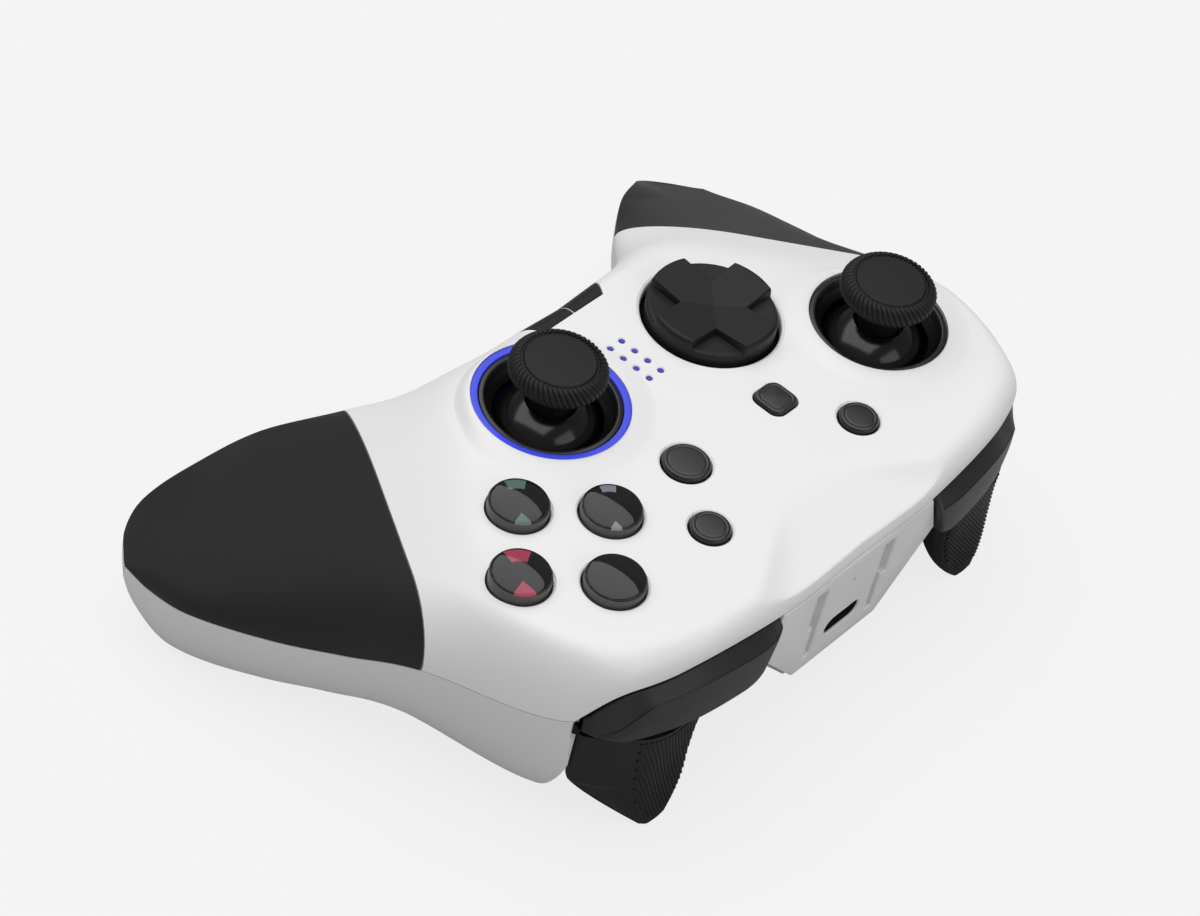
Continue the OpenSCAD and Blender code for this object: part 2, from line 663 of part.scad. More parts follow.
module trigger(left) {
    blade = [for (i = [0:blade_steps]) blade_row(sin(90 * i / (blade_steps + 1)), 1)];
    color("#1f1f1f") side(left) difference() {
        union() {
            loft(concat(blade, [blade_row(1, 0.45)]));
            bar_x(trigger_x + 0.2, hub_end_x, pin_y, pin_z, hub_r);
            block(trigger_x + 0.6, hub_end_x - 0.4, pin_y - 1.5, pin_y + hub_r - 0.3, blade_top - 2, pin_z);
            block(trigger_end_x - ear_w, trigger_end_x, pin_y + 0.3, pin_y + ear_h, blade_top - 1, pin_z + 0.2);
            block(magnet_x - 2.2, magnet_x + 2.2, magnet_y, pin_y, magnet_z - 2.2, pin_z);
        }
        bar_x(trigger_x - 1, trigger_end_x + 1, pin_y, pin_z, trigger_pin_d / 2 + pin_gap);
        bar_y(magnet_y - 1, magnet_y + magnet_t, magnet_x, magnet_z, magnet_r + pin_gap);
    }
}
module trigger_pin(left) {
    color("silver") side(left)
        bar_x(pocket_x0 - bay_t, pocket_x1 + bay_t - 0.6, pin_y, pin_z, trigger_pin_d / 2);
}
module trigger_magnet(left) {
    color("gray") side(left) bar_y(magnet_y, magnet_y + magnet_t - 0.05, magnet_x, magnet_z, magnet_r);
}
module trigger_sensor_boards() {
    color("darkgreen") for (left = [false, true]) side(left)
        block(magnet_x - 4, magnet_x + 4, pocket_y + 0.05, pocket_y + 0.85, magnet_z - 5, magnet_z + 3);
}

// Torsion spring on the trigger pin, swept as one wire
wire_r = 0.3;
spring_r = trigger_pin_d / 2 + 0.5;
spring_turns = 4;
spring_steps = 40;
spring_x = hub_end_x + 0.9;
spring_l = 3.6;
spring_leg = 1.8;
spring_path = concat(
    [[spring_x, pocket_y + wire_r + 0.4, pin_z + spring_r]],
    [for (i = [0:spring_steps]) let (a = 90 - 360 * spring_turns * i / spring_steps)
        [spring_x + spring_l * i / spring_steps, pin_y + spring_r * cos(a), pin_z + spring_r * sin(a)]],
    [[spring_x + spring_l, pin_y + spring_leg, pin_z + spring_r]]
);
module wire(path, r, sides) {
    n = len(path);
    loft([for (i = [0:n - 1]) let (
            d = unit(path[min(n - 1, i + 1)] - path[max(0, i - 1)]),
            u = unit(cross([1, 0, 0.001], d)), v = cross(u, d))
        [for (k = [0:sides - 1]) let (a = 360 * k / sides) path[i] + r * (u * cos(a) + v * sin(a))]]);
}
module trigger_spring(left) {
    color("silver") side(left) wire(spring_path, wire_r, 6);
}
module bumper_switches() {
    color("black") for (left = [false, true]) side(left) {
        block(lug_x + 3.3, lug_x + 6.8, bay_y + 0.05, front_y - 6.5, -13.5, -9.5);
        bar_y(front_y - 7, front_y - 5.6, lug_x + 5, -11.5, 0.8);
    }
}

// Stick module: housing on the board, yoke about x, pin about y, arm over both
stick_board_z = -board_depth;
stick_half = 6.3;
stick_wall = 0.9;
yoke_r = 3.9;
yoke_hole_r = 2.9;
yoke_h = 2.4;
hub_ball_r = 2.5;
trunnion_r = 1;
cross_pin_r = 0.8;
arm_in_r = 4.35;
arm_out_r = 5.2;
arm_half_w = 3.6;
arm_slot_w = shaft_d + 2 * run_gap;
dome_t = 0.9;
dome_hole_r = 4.6;
neck_r = 3.7;
dome_skirt = 2.2;

module pivot() {
    translate([0, 0, -pivot_depth]) children();
}
module stick_cap(left) {
    r = cap_d / 2;
    z = cap_top;
    bore = shaft_d / 2 + pin_gap;
    color("#202020") at_stick(left) rotate_extrude() polygon([
        [bore, -1.4], [neck_r, -1.4], [neck_r, z - 6.9], [neck_r + 1.3, z - 5], [r - 1.6, z - 4],
        [r - 0.5, z - 3.7], [r, z - 3], [r, z - 1.7], [r - 0.5, z - 0.9], [r - 1.5, z - 0.5],
        [r - 1.9, z - 0.5], [r - 2, z - 0.1], [r - 2.4, z], [0, z - 0.25], [0, z - 2], [bore, z - 2]
    ]);
}
module stick_dome(left) {
    color("#101010") at_stick(left) pivot() {
        difference() {
            sphere(r = dome_r);
            sphere(r = dome_r - dome_t);
            translate([0, 0, dome_skirt - 2 * dome_r]) cylinder(r = 2 * dome_r, h = 2 * dome_r);
            cylinder(r = dome_hole_r, h = 2 * dome_r);
        }
        ring(sqrt(pow(dome_r - dome_t, 2) - pow(pivot_depth - 2.4, 2)) + 0.4, shaft_d / 2 + pin_gap,
            pivot_depth - 2.4, pivot_depth - 1.6);
    }
}
module stick_shaft(left) {
    color("darkgray") at_stick(left) difference() {
        union() {
            disc(shaft_d / 2, -pivot_depth, cap_top - 2.1);
            pivot() sphere(r = hub_ball_r);
        }
        pivot() {
            for (z = [0, click]) bar_y(-4, 4, 0, z, cross_pin_r + pin_gap);
            block(-cross_pin_r - pin_gap, cross_pin_r + pin_gap, -4, 4, 0, click);
        }
    }
}
module stick_yoke(left) {
    color("dimgray") at_stick(left) pivot() difference() {
        union() {
            disc(yoke_r, -yoke_h / 2, yoke_h / 2);
            bar_x(-stick_half, stick_half, 0, 0, trunnion_r);
        }
        disc(yoke_hole_r, -yoke_h, yoke_h);
        bar_y(-stick_half, stick_half, 0, 0, cross_pin_r + pin_gap);
    }
}
module stick_pin(left) {
    color("silver") at_stick(left) pivot() bar_y(-yoke_r + 0.1, yoke_r - 0.1, 0, 0, cross_pin_r);
}
module stick_arm(left) {
    color("ivory") at_stick(left) pivot() difference() {
        union() {
            intersection() {
                rotate([0, 90, 0]) ring(arm_out_r, arm_in_r, -arm_half_w, arm_half_w);
                block(-stick_half, stick_half, -stick_half, stick_half, -1.6, stick_half);
            }
            for (m = [0, 180]) rotate(m) bar_y(arm_in_r + 0.2, stick_half, 0, 0, trunnion_r);
        }
        block(-arm_slot_w / 2, arm_slot_w / 2, -4, 4, 0.5, stick_half);
    }
}
module stick_housing(left) {
    low = stick_board_z + pivot_depth;
    inner = stick_half - stick_wall;
    color("#2e2e2e") at_stick(left) pivot() difference() {
        block(-stick_half, stick_half, -stick_half, stick_half, low, 2);
        block(-inner, inner, -inner, inner, low + 0.8, 3);
        bar_x(-stick_half - 1, stick_half + 1, 0, 0, trunnion_r + pin_gap);
        bar_y(-stick_half - 1, stick_half + 1, 0, 0, trunnion_r + pin_gap);
    }
}
module stick_ring(left) {
    r = ring_d / 2;
    h = ring_hole_d / 2;
    low = -wall - face_sag;
    color("#181818") at_stick(left) {
        rotate_extrude() polygon([
            [h, low - 1.2], [h, -2.8], [h + 1.2, -1], [r - 1, 0.3], [r - 0.2, 0.2], [r, -0.1],
            [r, low - 1], [h + 1.2, low - 1], [h + 0.8, low - 1.2]
        ]);
        // Ledge under the light ring
        if (!left) ring(light_d / 2, r - 0.5, low - 1, low);
    }
}
module light_ring() {
    color("#3b46d6") at_stick(false)
        ring(light_d / 2, ring_d / 2 + 0.05, -wall - face_sag + 0.05, 0.35);
}

// Direction pad: dished disc with a raised cross, rocking on a gimbal over a post
pad_pivot_z = -7;
pad_top = 1.6;
arm_low = 2.2;
arm_high = 3.4;
post_half = 5.1;
module at_pad() {
    translate([-pad_x, pad_y, 0]) children();
}
module pad_arm() {
    l = pad_d / 2 - 0.3;
    rotate([90, 0, 0]) translate([0, 0, -pad_arm_w / 2]) linear_extrude(pad_arm_w)
        polygon([
            [-l, 0.5], [l, 0.5], [l, arm_high - 0.8], [l - 0.9, arm_high],
            [0, arm_low], [0.9 - l, arm_high], [-l, arm_high - 0.8]
        ]);
}
module direction_pad() {
    r = pad_d / 2;
    color("#222222") at_pad() {
        rotate_extrude() polygon([
            [0, -2.6], [r + 1, -5], [r + 1, -4], [r, -3.6],
            [r, pad_top - 0.9], [r - 0.7, pad_top], [0, pad_top - 0.7]
        ]);
        intersection() {
            union() {
                pad_arm();
                rotate(90) pad_arm();
            }
            disc(r - 0.2, 0, arm_high + 1);
        }
        disc(hub_ball_r, pad_pivot_z - 1.2, -2.5);
        bar_y(0.1 - yoke_r, yoke_r - 0.1, 0, pad_pivot_z, cross_pin_r);
    }
}
module pad_gimbal() {
    color("silver") at_pad() translate([0, 0, pad_pivot_z]) difference() {
        union() {
            disc(yoke_r, -yoke_h / 2, yoke_h / 2);
            bar_x(-post_half - 1.5, post_half + 1.5, 0, 0, trunnion_r);
        }
        disc(yoke_hole_r, -yoke_h, yoke_h);
        bar_y(-stick_half, stick_half, 0, 0, cross_pin_r + pin_gap);
    }
}
module pad_post() {
    color("dimgray") at_pad() difference() {
        union() {
            disc(post_half + 1.7, -board_depth, -board_depth + 1.5);
            for (m = [0, 180]) rotate(m)
                block(post_half - 0.2, post_half + 1.4, -2, 2, -board_depth, pad_pivot_z + 1.8);
        }
        bar_x(-post_half - 3, post_half + 3, 0, pad_pivot_z, trunnion_r + pin_gap);
    }
}

// Face buttons: grey body with a flange and stem, and a clear lens on top
switch_h = 3.5;
switch_top = -board_depth + switch_h;
switch_half = 1.6;
flange_top = -wall - run_gap - 1.7 * face_sag;
flange_t = 1.1;
flange_w = 0.9;
lens_t = 1.2;
lens_crown = 0.6;
lens_steps = 8;
stem_r = 2.2;
module button_base(r, top, travel) {
    disc(r, flange_top - flange_t, top);
    disc(r + flange_w, flange_top - flange_t, flange_top);
    disc(stem_r, switch_top + travel + 0.15, flange_top);
}
module face_button(i) {
    r = button_d / 2;
    top = button_rise - lens_t;
    color("#5a5a5a") at_button(i) difference() {
        button_base(r, top + 0.5, button_travel);
        disc(r - 0.6, top, top + 2);
    }
}
module face_lens(i) {
    r = button_d / 2 - 0.65;
    top = button_rise - lens_t + 0.02;
    color("#30303a", 0.6) at_button(i) rotate_extrude() polygon(concat(
        [[0, top], [r, top]],
        [for (k = [0:lens_steps]) let (a = 90 * k / lens_steps)
            [r * cos(a), button_rise - lens_crown + (lens_crown + 0.1) * sin(a)]]
    ));
}
module round_button(d) {
    r = d / 2;
    rotate_extrude() polygon([
        [0, flange_top], [r, flange_top], [r, small_rise - 0.45], [r - 0.2, small_rise - 0.12],
        [r - 0.6, small_rise], [r - 0.9, small_rise - 0.1], [0, small_rise + 0.05]
    ]);
    button_base(r, flange_top, small_travel);
}
module home_button() {
    color("#1b1b1b") translate([home_x, home_y, 0]) round_button(home_d);
}
module menu_button(left) {
    color("#1b1b1b") translate([left ? -menu_x : menu_x, menu_y, 0]) round_button(menu_d);
}
module capture_button() {
    color("#1b1b1b") translate([-home_x, home_y, 0]) {
        rounded_square(capture_w, capture_r, flange_top - flange_t, small_rise - 0.3);
        rounded_square(capture_w - 0.7, capture_r - 0.35, 0, small_rise);
        rounded_square(capture_w + 2 * flange_w, capture_r, flange_top - flange_t, flange_top);
        disc(stem_r, switch_top + small_travel + 0.15, flange_top);
    }
}
module tact_switch() {
    block(-switch_half, switch_half, -switch_half, switch_half, -board_depth, switch_top - 0.6);
    disc(0.9, -board_depth + 1, switch_top);
}
module button_switches() {
    color("black") {
        for (i = [0:3]) at_button(i) tact_switch();
        for (m = [-1, 1]) {
            translate([m * home_x, home_y, 0]) tact_switch();
            translate([m * menu_x, menu_y, 0]) tact_switch();
        }
    }
}
module light_guide() {
    top = -wall - 0.1;
    color("#3a35a5") {
        block(-led_pitch, led_pitch, led_y - 2.2 * led_pitch, led_y + 2.2 * led_pitch, top - 1.2, top);
        at_leds() disc(led_d / 2, top - 0.5, -0.05);
    }
}

// Circuit board between the shells
board_half = [
    [0, back_y + 7], [22, back_y + 6], [32, back_y + 9.5], [44, 0], [57, 14], [57, 30],
    [50, pocket_y - bay_t - 0.6], [menu_x + 2.5, pocket_y - bay_t - 0.6],
    [menu_x + 2.5, bay_y - bay_t - 0.5], [0, bay_y - bay_t - 0.5]
];
module main_board() {
    color("darkgreen") difference() {
        translate([0, 0, -board_depth - board_t]) linear_extrude(board_t)
            polygon(concat(board_half,
                [for (i = [len(board_half) - 2:-1:1]) [-board_half[i][0], board_half[i][1]]]));
        at_bosses() disc(post_r + 0.5, -board_depth - board_t - 1, -board_depth + 1);
    }
}
module usb_socket() {
    y1 = front_y - 1.2;
    y0 = y1 - 7.3;
    color("silver") {
        difference() {
            upright(y0, y1) translate([0, -usb_depth]) stadium(usb_w - 0.3, usb_h - 0.3);
            upright(y0 + 0.6, y1 + 1) translate([0, -usb_depth]) stadium(usb_w - 0.9, usb_h - 0.9);
        }
        block(-3.3, 3.3, y0 + 0.3, y1 - 1, -usb_depth - 0.35, -usb_depth + 0.35);
        block(-9, 9, y0 - 1.6, y1 - 2.8, usb_low - usb_board_t, usb_low + 0.15);
    }
}
module battery_pack() {
    color("slategray") translate([0, battery_y + battery_l / 2, battery_low]) linear_extrude(battery_t) {
        square([battery_w - 4, battery_l], center = true);
        square([battery_w, battery_l - 4], center = true);
        for (x = [-1, 1]) for (y = [-1, 1])
            translate([x * (battery_w / 2 - 2), y * (battery_l / 2 - 2)]) circle(r = 2);
    }
}
motor_shaft_r = 0.75;
weight_gap = 1;
weight_t = 4;
module motor(left) {
    color("silver") side(left) {
        bar_x(motor_x, motor_x + motor_l, motor_y, motor_z, motor_d / 2);
        bar_x(motor_x + motor_l - 1, motor_x + motor_l + weight_gap + weight_t - 0.5,
            motor_y, motor_z, motor_shaft_r);
    }
}
module motor_weight(left) {
    x0 = motor_x + motor_l + weight_gap;
    color("dimgray") side(left) difference() {
        union() {
            bar_x(x0, x0 + weight_t, motor_y, motor_z, 2.4);
            intersection() {
                bar_x(x0, x0 + weight_t, motor_y, motor_z, weight_r);
                block(x0 - 1, x0 + weight_t + 1, motor_y - 20, motor_y + 20, motor_z - 20, motor_z);
            }
        }
        bar_x(x0 - 1, x0 + weight_t + 1, motor_y, motor_z, motor_shaft_r + pin_gap);
    }
}
module case_screws() {
    color("silver") at_bosses() {
        disc(head_r, head_seat - head_h - 0.05, head_seat - 0.05);
        disc(screw_r, head_seat - 1, boss_low + 4.5);
    }
}

// The finished pieces stand on the undersides of the grips and the tips of the triggers
rest_grip_y = grip_y + 20.5;
rest_grip_depth = grip_depth + 0.285;
rest_tip_y = front_y - 0.2;
rest_tilt = atan2(rest_grip_depth - trigger_depth, rest_tip_y - rest_grip_y);
rest_height = rest_grip_depth * cos(rest_tilt) + rest_grip_y * sin(rest_tilt);
front_reach = [front_y + bumper_out - 0.55, -8.2];
grip_reach = [grip_y + 0.24, -34.9];
rest_shift = -(front_reach + grip_reach) * [cos(rest_tilt), sin(rest_tilt)] / 2;
module posed() {
    translate([0, rest_shift, rest_height]) rotate([-rest_tilt, 0, 0]) children();
}

posed() top_shell();
posed() bottom_shell();
posed() grip_cover(true);  // left_grip_cover
posed() grip_cover(false);  // right_grip_cover
posed() function_key(true);  // left_function_key
posed() function_key(false);  // right_function_key
posed() bumper(true);  // left_bumper
posed() bumper(false);  // right_bumper
posed() trigger(true);  // left_trigger
posed() trigger(false);  // right_trigger
posed() trigger_pin(true);  // left_trigger_pin
posed() trigger_pin(false);  // right_trigger_pin
posed() trigger_spring(true);  // left_trigger_spring
posed() trigger_spring(false);  // right_trigger_spring
posed() trigger_magnet(true);  // left_trigger_magnet
posed() trigger_magnet(false);  // right_trigger_magnet
posed() trigger_sensor_boards();
posed() bumper_switches();
posed() stick_cap(true);  // left_stick_cap
posed() stick_cap(false);  // right_stick_cap
posed() stick_dome(true);  // left_stick_dome
posed() stick_dome(false);  // right_stick_dome
posed() stick_shaft(true);  // left_stick_shaft
posed() stick_shaft(false);  // right_stick_shaft
posed() stick_yoke(true);  // left_stick_yoke
posed() stick_yoke(false);  // right_stick_yoke
posed() stick_pin(true);  // left_stick_pin
posed() stick_pin(false);  // right_stick_pin
posed() stick_arm(true);  // left_stick_arm
posed() stick_arm(false);  // right_stick_arm
posed() stick_housing(true);  // left_stick_housing
posed() stick_housing(false);  // right_stick_housing
posed() stick_ring(true);  // left_stick_ring
posed() stick_ring(false);  // right_stick_ring
posed() light_ring();  // right_light_ring
posed() direction_pad();
posed() pad_gimbal();
posed() pad_post();
posed() face_button(0);  // east_button
posed() face_button(1);  // west_button
posed() face_button(2);  // north_button
posed() face_button(3);  // south_button
posed() face_lens(0);  // east_lens
posed() face_lens(1);  // west_lens
posed() face_lens(2);  // north_lens
posed() face_lens(3);  // south_lens
posed() home_button();
posed() capture_button();
posed() menu_button(false);  // plus_button
posed() menu_button(true);  // minus_button
posed() button_switches();
posed() light_guide();
posed() main_board();
posed() usb_socket();
posed() battery_pack();
posed() motor(true);  // left_motor
posed() motor(false);  // right_motor
posed() motor_weight(true);  // left_motor_weight
posed() motor_weight(false);  // right_motor_weight
posed() case_screws();
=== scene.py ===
import json
import math

import bmesh
import bpy
import numpy as np
from mathutils import Matrix, Vector
from mathutils.bvhtree import BVHTree


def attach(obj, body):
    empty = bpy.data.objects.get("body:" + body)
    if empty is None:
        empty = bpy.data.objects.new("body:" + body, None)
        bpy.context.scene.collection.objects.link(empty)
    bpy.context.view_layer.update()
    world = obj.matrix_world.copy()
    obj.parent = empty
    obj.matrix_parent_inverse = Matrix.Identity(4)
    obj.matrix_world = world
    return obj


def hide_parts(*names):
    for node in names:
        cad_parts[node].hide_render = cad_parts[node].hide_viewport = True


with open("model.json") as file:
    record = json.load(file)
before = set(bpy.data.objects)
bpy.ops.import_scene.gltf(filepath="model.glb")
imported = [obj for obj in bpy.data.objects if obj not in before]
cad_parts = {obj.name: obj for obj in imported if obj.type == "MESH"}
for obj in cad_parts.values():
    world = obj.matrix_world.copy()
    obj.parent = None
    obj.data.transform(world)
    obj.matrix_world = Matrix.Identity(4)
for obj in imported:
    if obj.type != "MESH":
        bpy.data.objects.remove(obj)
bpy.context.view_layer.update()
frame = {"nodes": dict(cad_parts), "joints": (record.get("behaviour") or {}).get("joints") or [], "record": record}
nodes = frame["nodes"]
joints = {joint["name"]: joint for joint in frame["joints"]}
print("frame loaded:", len(nodes), "nodes")

# The controller is drawn with its face level at z = 0, in millimetres, x to the user's right and
# y away from the user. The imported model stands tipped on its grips, as its joints tell.
layout = {
    "rightStick": (19.3, 0.0), "leftStick": (-41.7, 23.6), "tiltDepth": 9.0,
    "pad": (-18.9, 3.6), "cluster": (41.7, 23.6), "pitch": (11.2, 10.7),
    "home": (11.9, 24.3), "capture": (-11.9, 24.3), "plus": (20.0, 36.5), "minus": (-20.0, 36.5),
    "frontY": 54.5, "halfWidth": 78.0, "wall": 2.2, "seam": 0.2,
}
halfSeam = layout["seam"] / 2
sides = {"left": -1, "right": 1}  # sign of x on each side
faceUp = -Vector(joints["home_press"]["axis"]).normalized()
acrossX = Vector((1, 0, 0))
turn = np.array([acrossX, faceUp.cross(acrossX), faceUp]).T
pivotAt = np.array([*layout["rightStick"], -layout["tiltDepth"]])
shift = np.array(joints["right_stick_tilt_forward"]["pos_m"]) - turn @ pivotAt / 1000


def toFrame(points):
    return np.asarray(points, float) @ turn.T / 1000 + shift


# Colours and node helpers

def linear(hexColour):
    parts = [int(hexColour[i:i + 2], 16) / 255 for i in (1, 3, 5)]
    return tuple(c / 12.92 if c <= 0.04045 else ((c + 0.055) / 1.055) ** 2.4 for c in parts) + (1.0,)


def addNode(tree, kind, settings=None, inputs=None):
    node = tree.nodes.new(kind)
    for name, value in (settings or {}).items():
        setattr(node, name, value)
    for name, value in (inputs or {}).items():
        if isinstance(value, bpy.types.NodeSocket):
            tree.links.new(value, node.inputs[name])
        else:
            node.inputs[name].default_value = value
    return node


def newMaterial(name):
    material = bpy.data.materials.new(name)
    material.use_nodes = True
    material.node_tree.nodes.clear()
    return material, material.node_tree


def plainFinish(name, colour, roughness, ior=1.5, metallic=0.0, grain=None, extra=None):
    # grain is (size in mm, strength, height in mm) of a moulded-in texture
    material, tree = newMaterial(name)
    shader = addNode(tree, "ShaderNodeBsdfPrincipled", None, {
        "Base Color": linear(colour), "Roughness": roughness, "IOR": ior, "Metallic": metallic,
        **(extra or {})})
    if grain:
        place = addNode(tree, "ShaderNodeTexCoord")
        noise = addNode(tree, "ShaderNodeTexNoise", None, {
            "Vector": place.outputs["Object"], "Scale": 1000 / grain[0], "Detail": 2.0, "Roughness": 0.5})
        bump = addNode(tree, "ShaderNodeBump", None, {
            "Height": noise.outputs["Fac"], "Strength": grain[1], "Distance": grain[2] / 1000})
        tree.links.new(bump.outputs["Normal"], shader.inputs["Normal"])
    addNode(tree, "ShaderNodeOutputMaterial", None, {"Surface": shader.outputs["BSDF"]})
    return material


# Injection-moulded ABS: bright and even, with a soft wide highlight from a fine eroded mould
whiteAbs = plainFinish("whiteMouldedAbs", "#F1F1F1", 0.42, 1.53, grain=(0.35, 0.06, 0.02))
# The same ABS with a coarser eroded mould, so the grips look dry
lightAbs = plainFinish("lightTexturedAbs", "#E6E6E7", 0.5, 1.53, grain=(0.45, 0.12, 0.03))
# Soft-touch paint over ABS: dry, dark and fine-grained, with a pale bloom at grazing angles
softTouch = plainFinish("softTouchCoating", "#202020", 0.62, 1.46, grain=(0.5, 0.3, 0.04),
                        extra={"Sheen Weight": 0.08, "Sheen Roughness": 0.45, "Specular IOR Level": 0.3})
# Black ABS from a lightly etched mould: a satin band along the bumpers
satinBlackAbs = plainFinish("satinBlackAbs", "#1E1E1E", 0.4, 1.53, grain=(0.4, 0.1, 0.02),
                            extra={"Specular IOR Level": 0.4})
# Black ABS from a matt mould: triggers and direction pad drink the light
mattBlackAbs = plainFinish("mattBlackAbs", "#161616", 0.52, 1.53, grain=(0.4, 0.18, 0.03),
                           extra={"Specular IOR Level": 0.3})
# Moulded rubber: deep black, with a dull sheen on the ridges
blackRubber = plainFinish("mouldedBlackRubber", "#161616", 0.55, 1.52, grain=(0.3, 0.25, 0.03),
                          extra={"Specular IOR Level": 0.3})
# Polished black ABS: mirrors the studio in the domes under the thumb caps
glossBlackAbs = plainFinish("polishedBlackAbs", "#0E0E0E", 0.16, 1.53)
# Ring inserts: a smooth black moulding between satin and gloss
ringAbs = plainFinish("smoothBlackAbs", "#141414", 0.26, 1.53)
# Small buttons: black ABS from a smooth mould, with a clear narrow highlight
buttonAbs = plainFinish("buttonBlackAbs", "#1D1D1D", 0.3, 1.53)
# Grey ABS button walls: a paler rim round each dark lens
greyAbs = plainFinish("greyMouldedAbs", "#484848", 0.36, 1.53)
# Clear light guides dyed blue, with a little light in them
blueGuide = plainFinish("blueLightGuide", "#3B46D6", 0.3, 1.49,
                        extra={"Emission Color": linear("#3540D8"), "Emission Strength": 0.25})
blueDots = plainFinish("blueIndicator", "#3A35A5", 0.3, 1.49,
                       extra={"Emission Color": linear("#3A35A5"), "Emission Strength": 0.2})
# Drawn and stamped steel inside the case: bright, with a soft mirror
drawnSteel = plainFinish("drawnSteel", "#B4B4B6", 0.32, metallic=1.0)
# Steel with a black oxide layer: dark and dull, so that it stays back in the gaps
blackenedSteel = plainFinish("blackOxideSteel", "#1E1E20", 0.5, metallic=1.0)
# Pressed and sintered powder: dull grey with broad highlights
sinteredMetal = plainFinish("sinteredMetal", "#7D7A76", 0.5, metallic=1.0)
# Glass-fibre board under solder mask: even green with a wet look
boardMask = plainFinish("solderMaskBoard", "#14532F", 0.35, 1.55)
# Shrink film round the cell: smooth grey-blue plastic
cellFilm = plainFinish("cellShrinkFilm", "#5A6B82", 0.4, 1.55)
# Cast acrylic, lightly smoked: mirrors the studio and lets the print on its back show through
smokeLens = plainFinish("smokedAcrylicLens", "#DCDCDF", 0.04, 1.49, extra={"Transmission Weight": 1.0})
print("finishes made:", len(bpy.data.materials))


# Mesh helpers

def signedVolume(points, faces):
    total = 0.0
    for face in faces:
        a = points[face[0]]
        for k in range(1, len(face) - 1):
            total += np.dot(a, np.cross(points[face[k]], points[face[k + 1]]))
    return total


def newMesh(name, points, faces):
    points = np.asarray(points, float)
    if signedVolume(points, faces) < 0:
        faces = [face[::-1] for face in faces]
    mesh = bpy.data.meshes.new(name)
    mesh.from_pydata(points.tolist(), [], [list(map(int, face)) for face in faces])
    mesh.validate()
    return mesh


def welded(mesh):
    # Joins points that lie on each other
    work = bmesh.new()
    work.from_mesh(mesh)
    bmesh.ops.remove_doubles(work, verts=work.verts, dist=1e-4)
    work.to_mesh(mesh)
    work.free()
    return mesh


def newPiece(name, mesh):
    piece = bpy.data.objects.new(name, mesh)
    bpy.context.scene.collection.objects.link(piece)
    return piece


def bake(piece):
    depsgraph = bpy.context.evaluated_depsgraph_get()
    mesh = bpy.data.meshes.new_from_object(piece.evaluated_get(depsgraph))
    piece.modifiers.clear()
    piece.data = mesh
    return piece


def combine(piece, tool, operation):
    cut = piece.modifiers.new("combine", "BOOLEAN")
    cut.operation = operation
    cut.solver = "MANIFOLD"
    cut.object = tool
    bake(piece)
    bpy.data.objects.remove(tool)
    return piece


def softenEdges(piece, width, angle=40, segments=2):
    bevel = piece.modifiers.new("soften", "BEVEL")
    bevel.width = width
    bevel.segments = segments
    bevel.limit_method = "ANGLE"
    bevel.angle_limit = math.radians(angle)
    return bake(piece)


def settle(piece, body, standsFor, material, sharp=35):
    # From drawing millimetres to the frame, then shading, finish and body
    mesh = piece.data
    points = np.empty(len(mesh.vertices) * 3)
    mesh.vertices.foreach_get("co", points)
    mesh.vertices.foreach_set("co", toFrame(points.reshape(-1, 3)).ravel())
    mesh.update()
    mesh.shade_smooth()
    mesh.set_sharp_from_angle(angle=math.radians(sharp))
    if material is not None:
        mesh.materials.clear()
        mesh.materials.append(material)
    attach(piece, body)
    if standsFor:
        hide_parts(*standsFor)


def gridFaces(rows, columns, start=0):
    index = start + np.arange(rows * columns).reshape(rows, columns)
    return np.stack([index[:-1, :-1], index[1:, :-1], index[1:, 1:], index[:-1, 1:]], -1).reshape(-1, 4)


def closedSheet(name, outer, inner):
    # Two grids of the same size, joined all round
    rows, columns = outer.shape[:2]
    count = rows * columns
    index = np.arange(count).reshape(rows, columns)
    border = np.concatenate([index[:, 0], index[-1, 1:], index[-2::-1, -1], index[0, -2:0:-1]])
    following = np.roll(border, -1)
    faces = np.concatenate([
        gridFaces(rows, columns),
        gridFaces(rows, columns, count)[:, ::-1],
        np.stack([following, border, border + count, following + count], -1),
    ])
    points = np.concatenate([outer.reshape(-1, 3), inner.reshape(-1, 3)])
    return newPiece(name, welded(newMesh(name, points, faces.tolist())))


def loft(name, rings, wrap=False):
    # Closed rings with flat ends, or with the last ring joined to the first
    rings = np.asarray(rings, float)
    rows, columns = rings.shape[:2]
    index = np.arange(rows * columns).reshape(rows, columns)
    ends = [] if wrap else [index[0, ::-1].tolist(), index[-1].tolist()]
    index = np.concatenate([index, index[:1]]) if wrap else index
    after = np.roll(index, -1, axis=1)
    walls = np.stack([index[:-1], after[:-1], after[1:], index[1:]], -1).reshape(-1, 4).tolist()
    return newPiece(name, newMesh(name, rings.reshape(-1, 3), walls + ends))


def arc(radius, start, end, count):
    angles = np.linspace(start, end, count)
    return radius * np.column_stack([np.cos(angles), np.sin(angles)])


def circle(radius, count):
    return arc(radius, 0, 2 * math.pi, count + 1)[:-1]


def atHeight(outline, z):
    return np.column_stack([outline, np.full(len(outline), z)])


def handed(points, sign):
    # Mirrors an outline or rows of points to the left for sign -1
    points = np.asarray(points, float)
    return points * np.array([sign, 1, 1])[:points.shape[-1]]


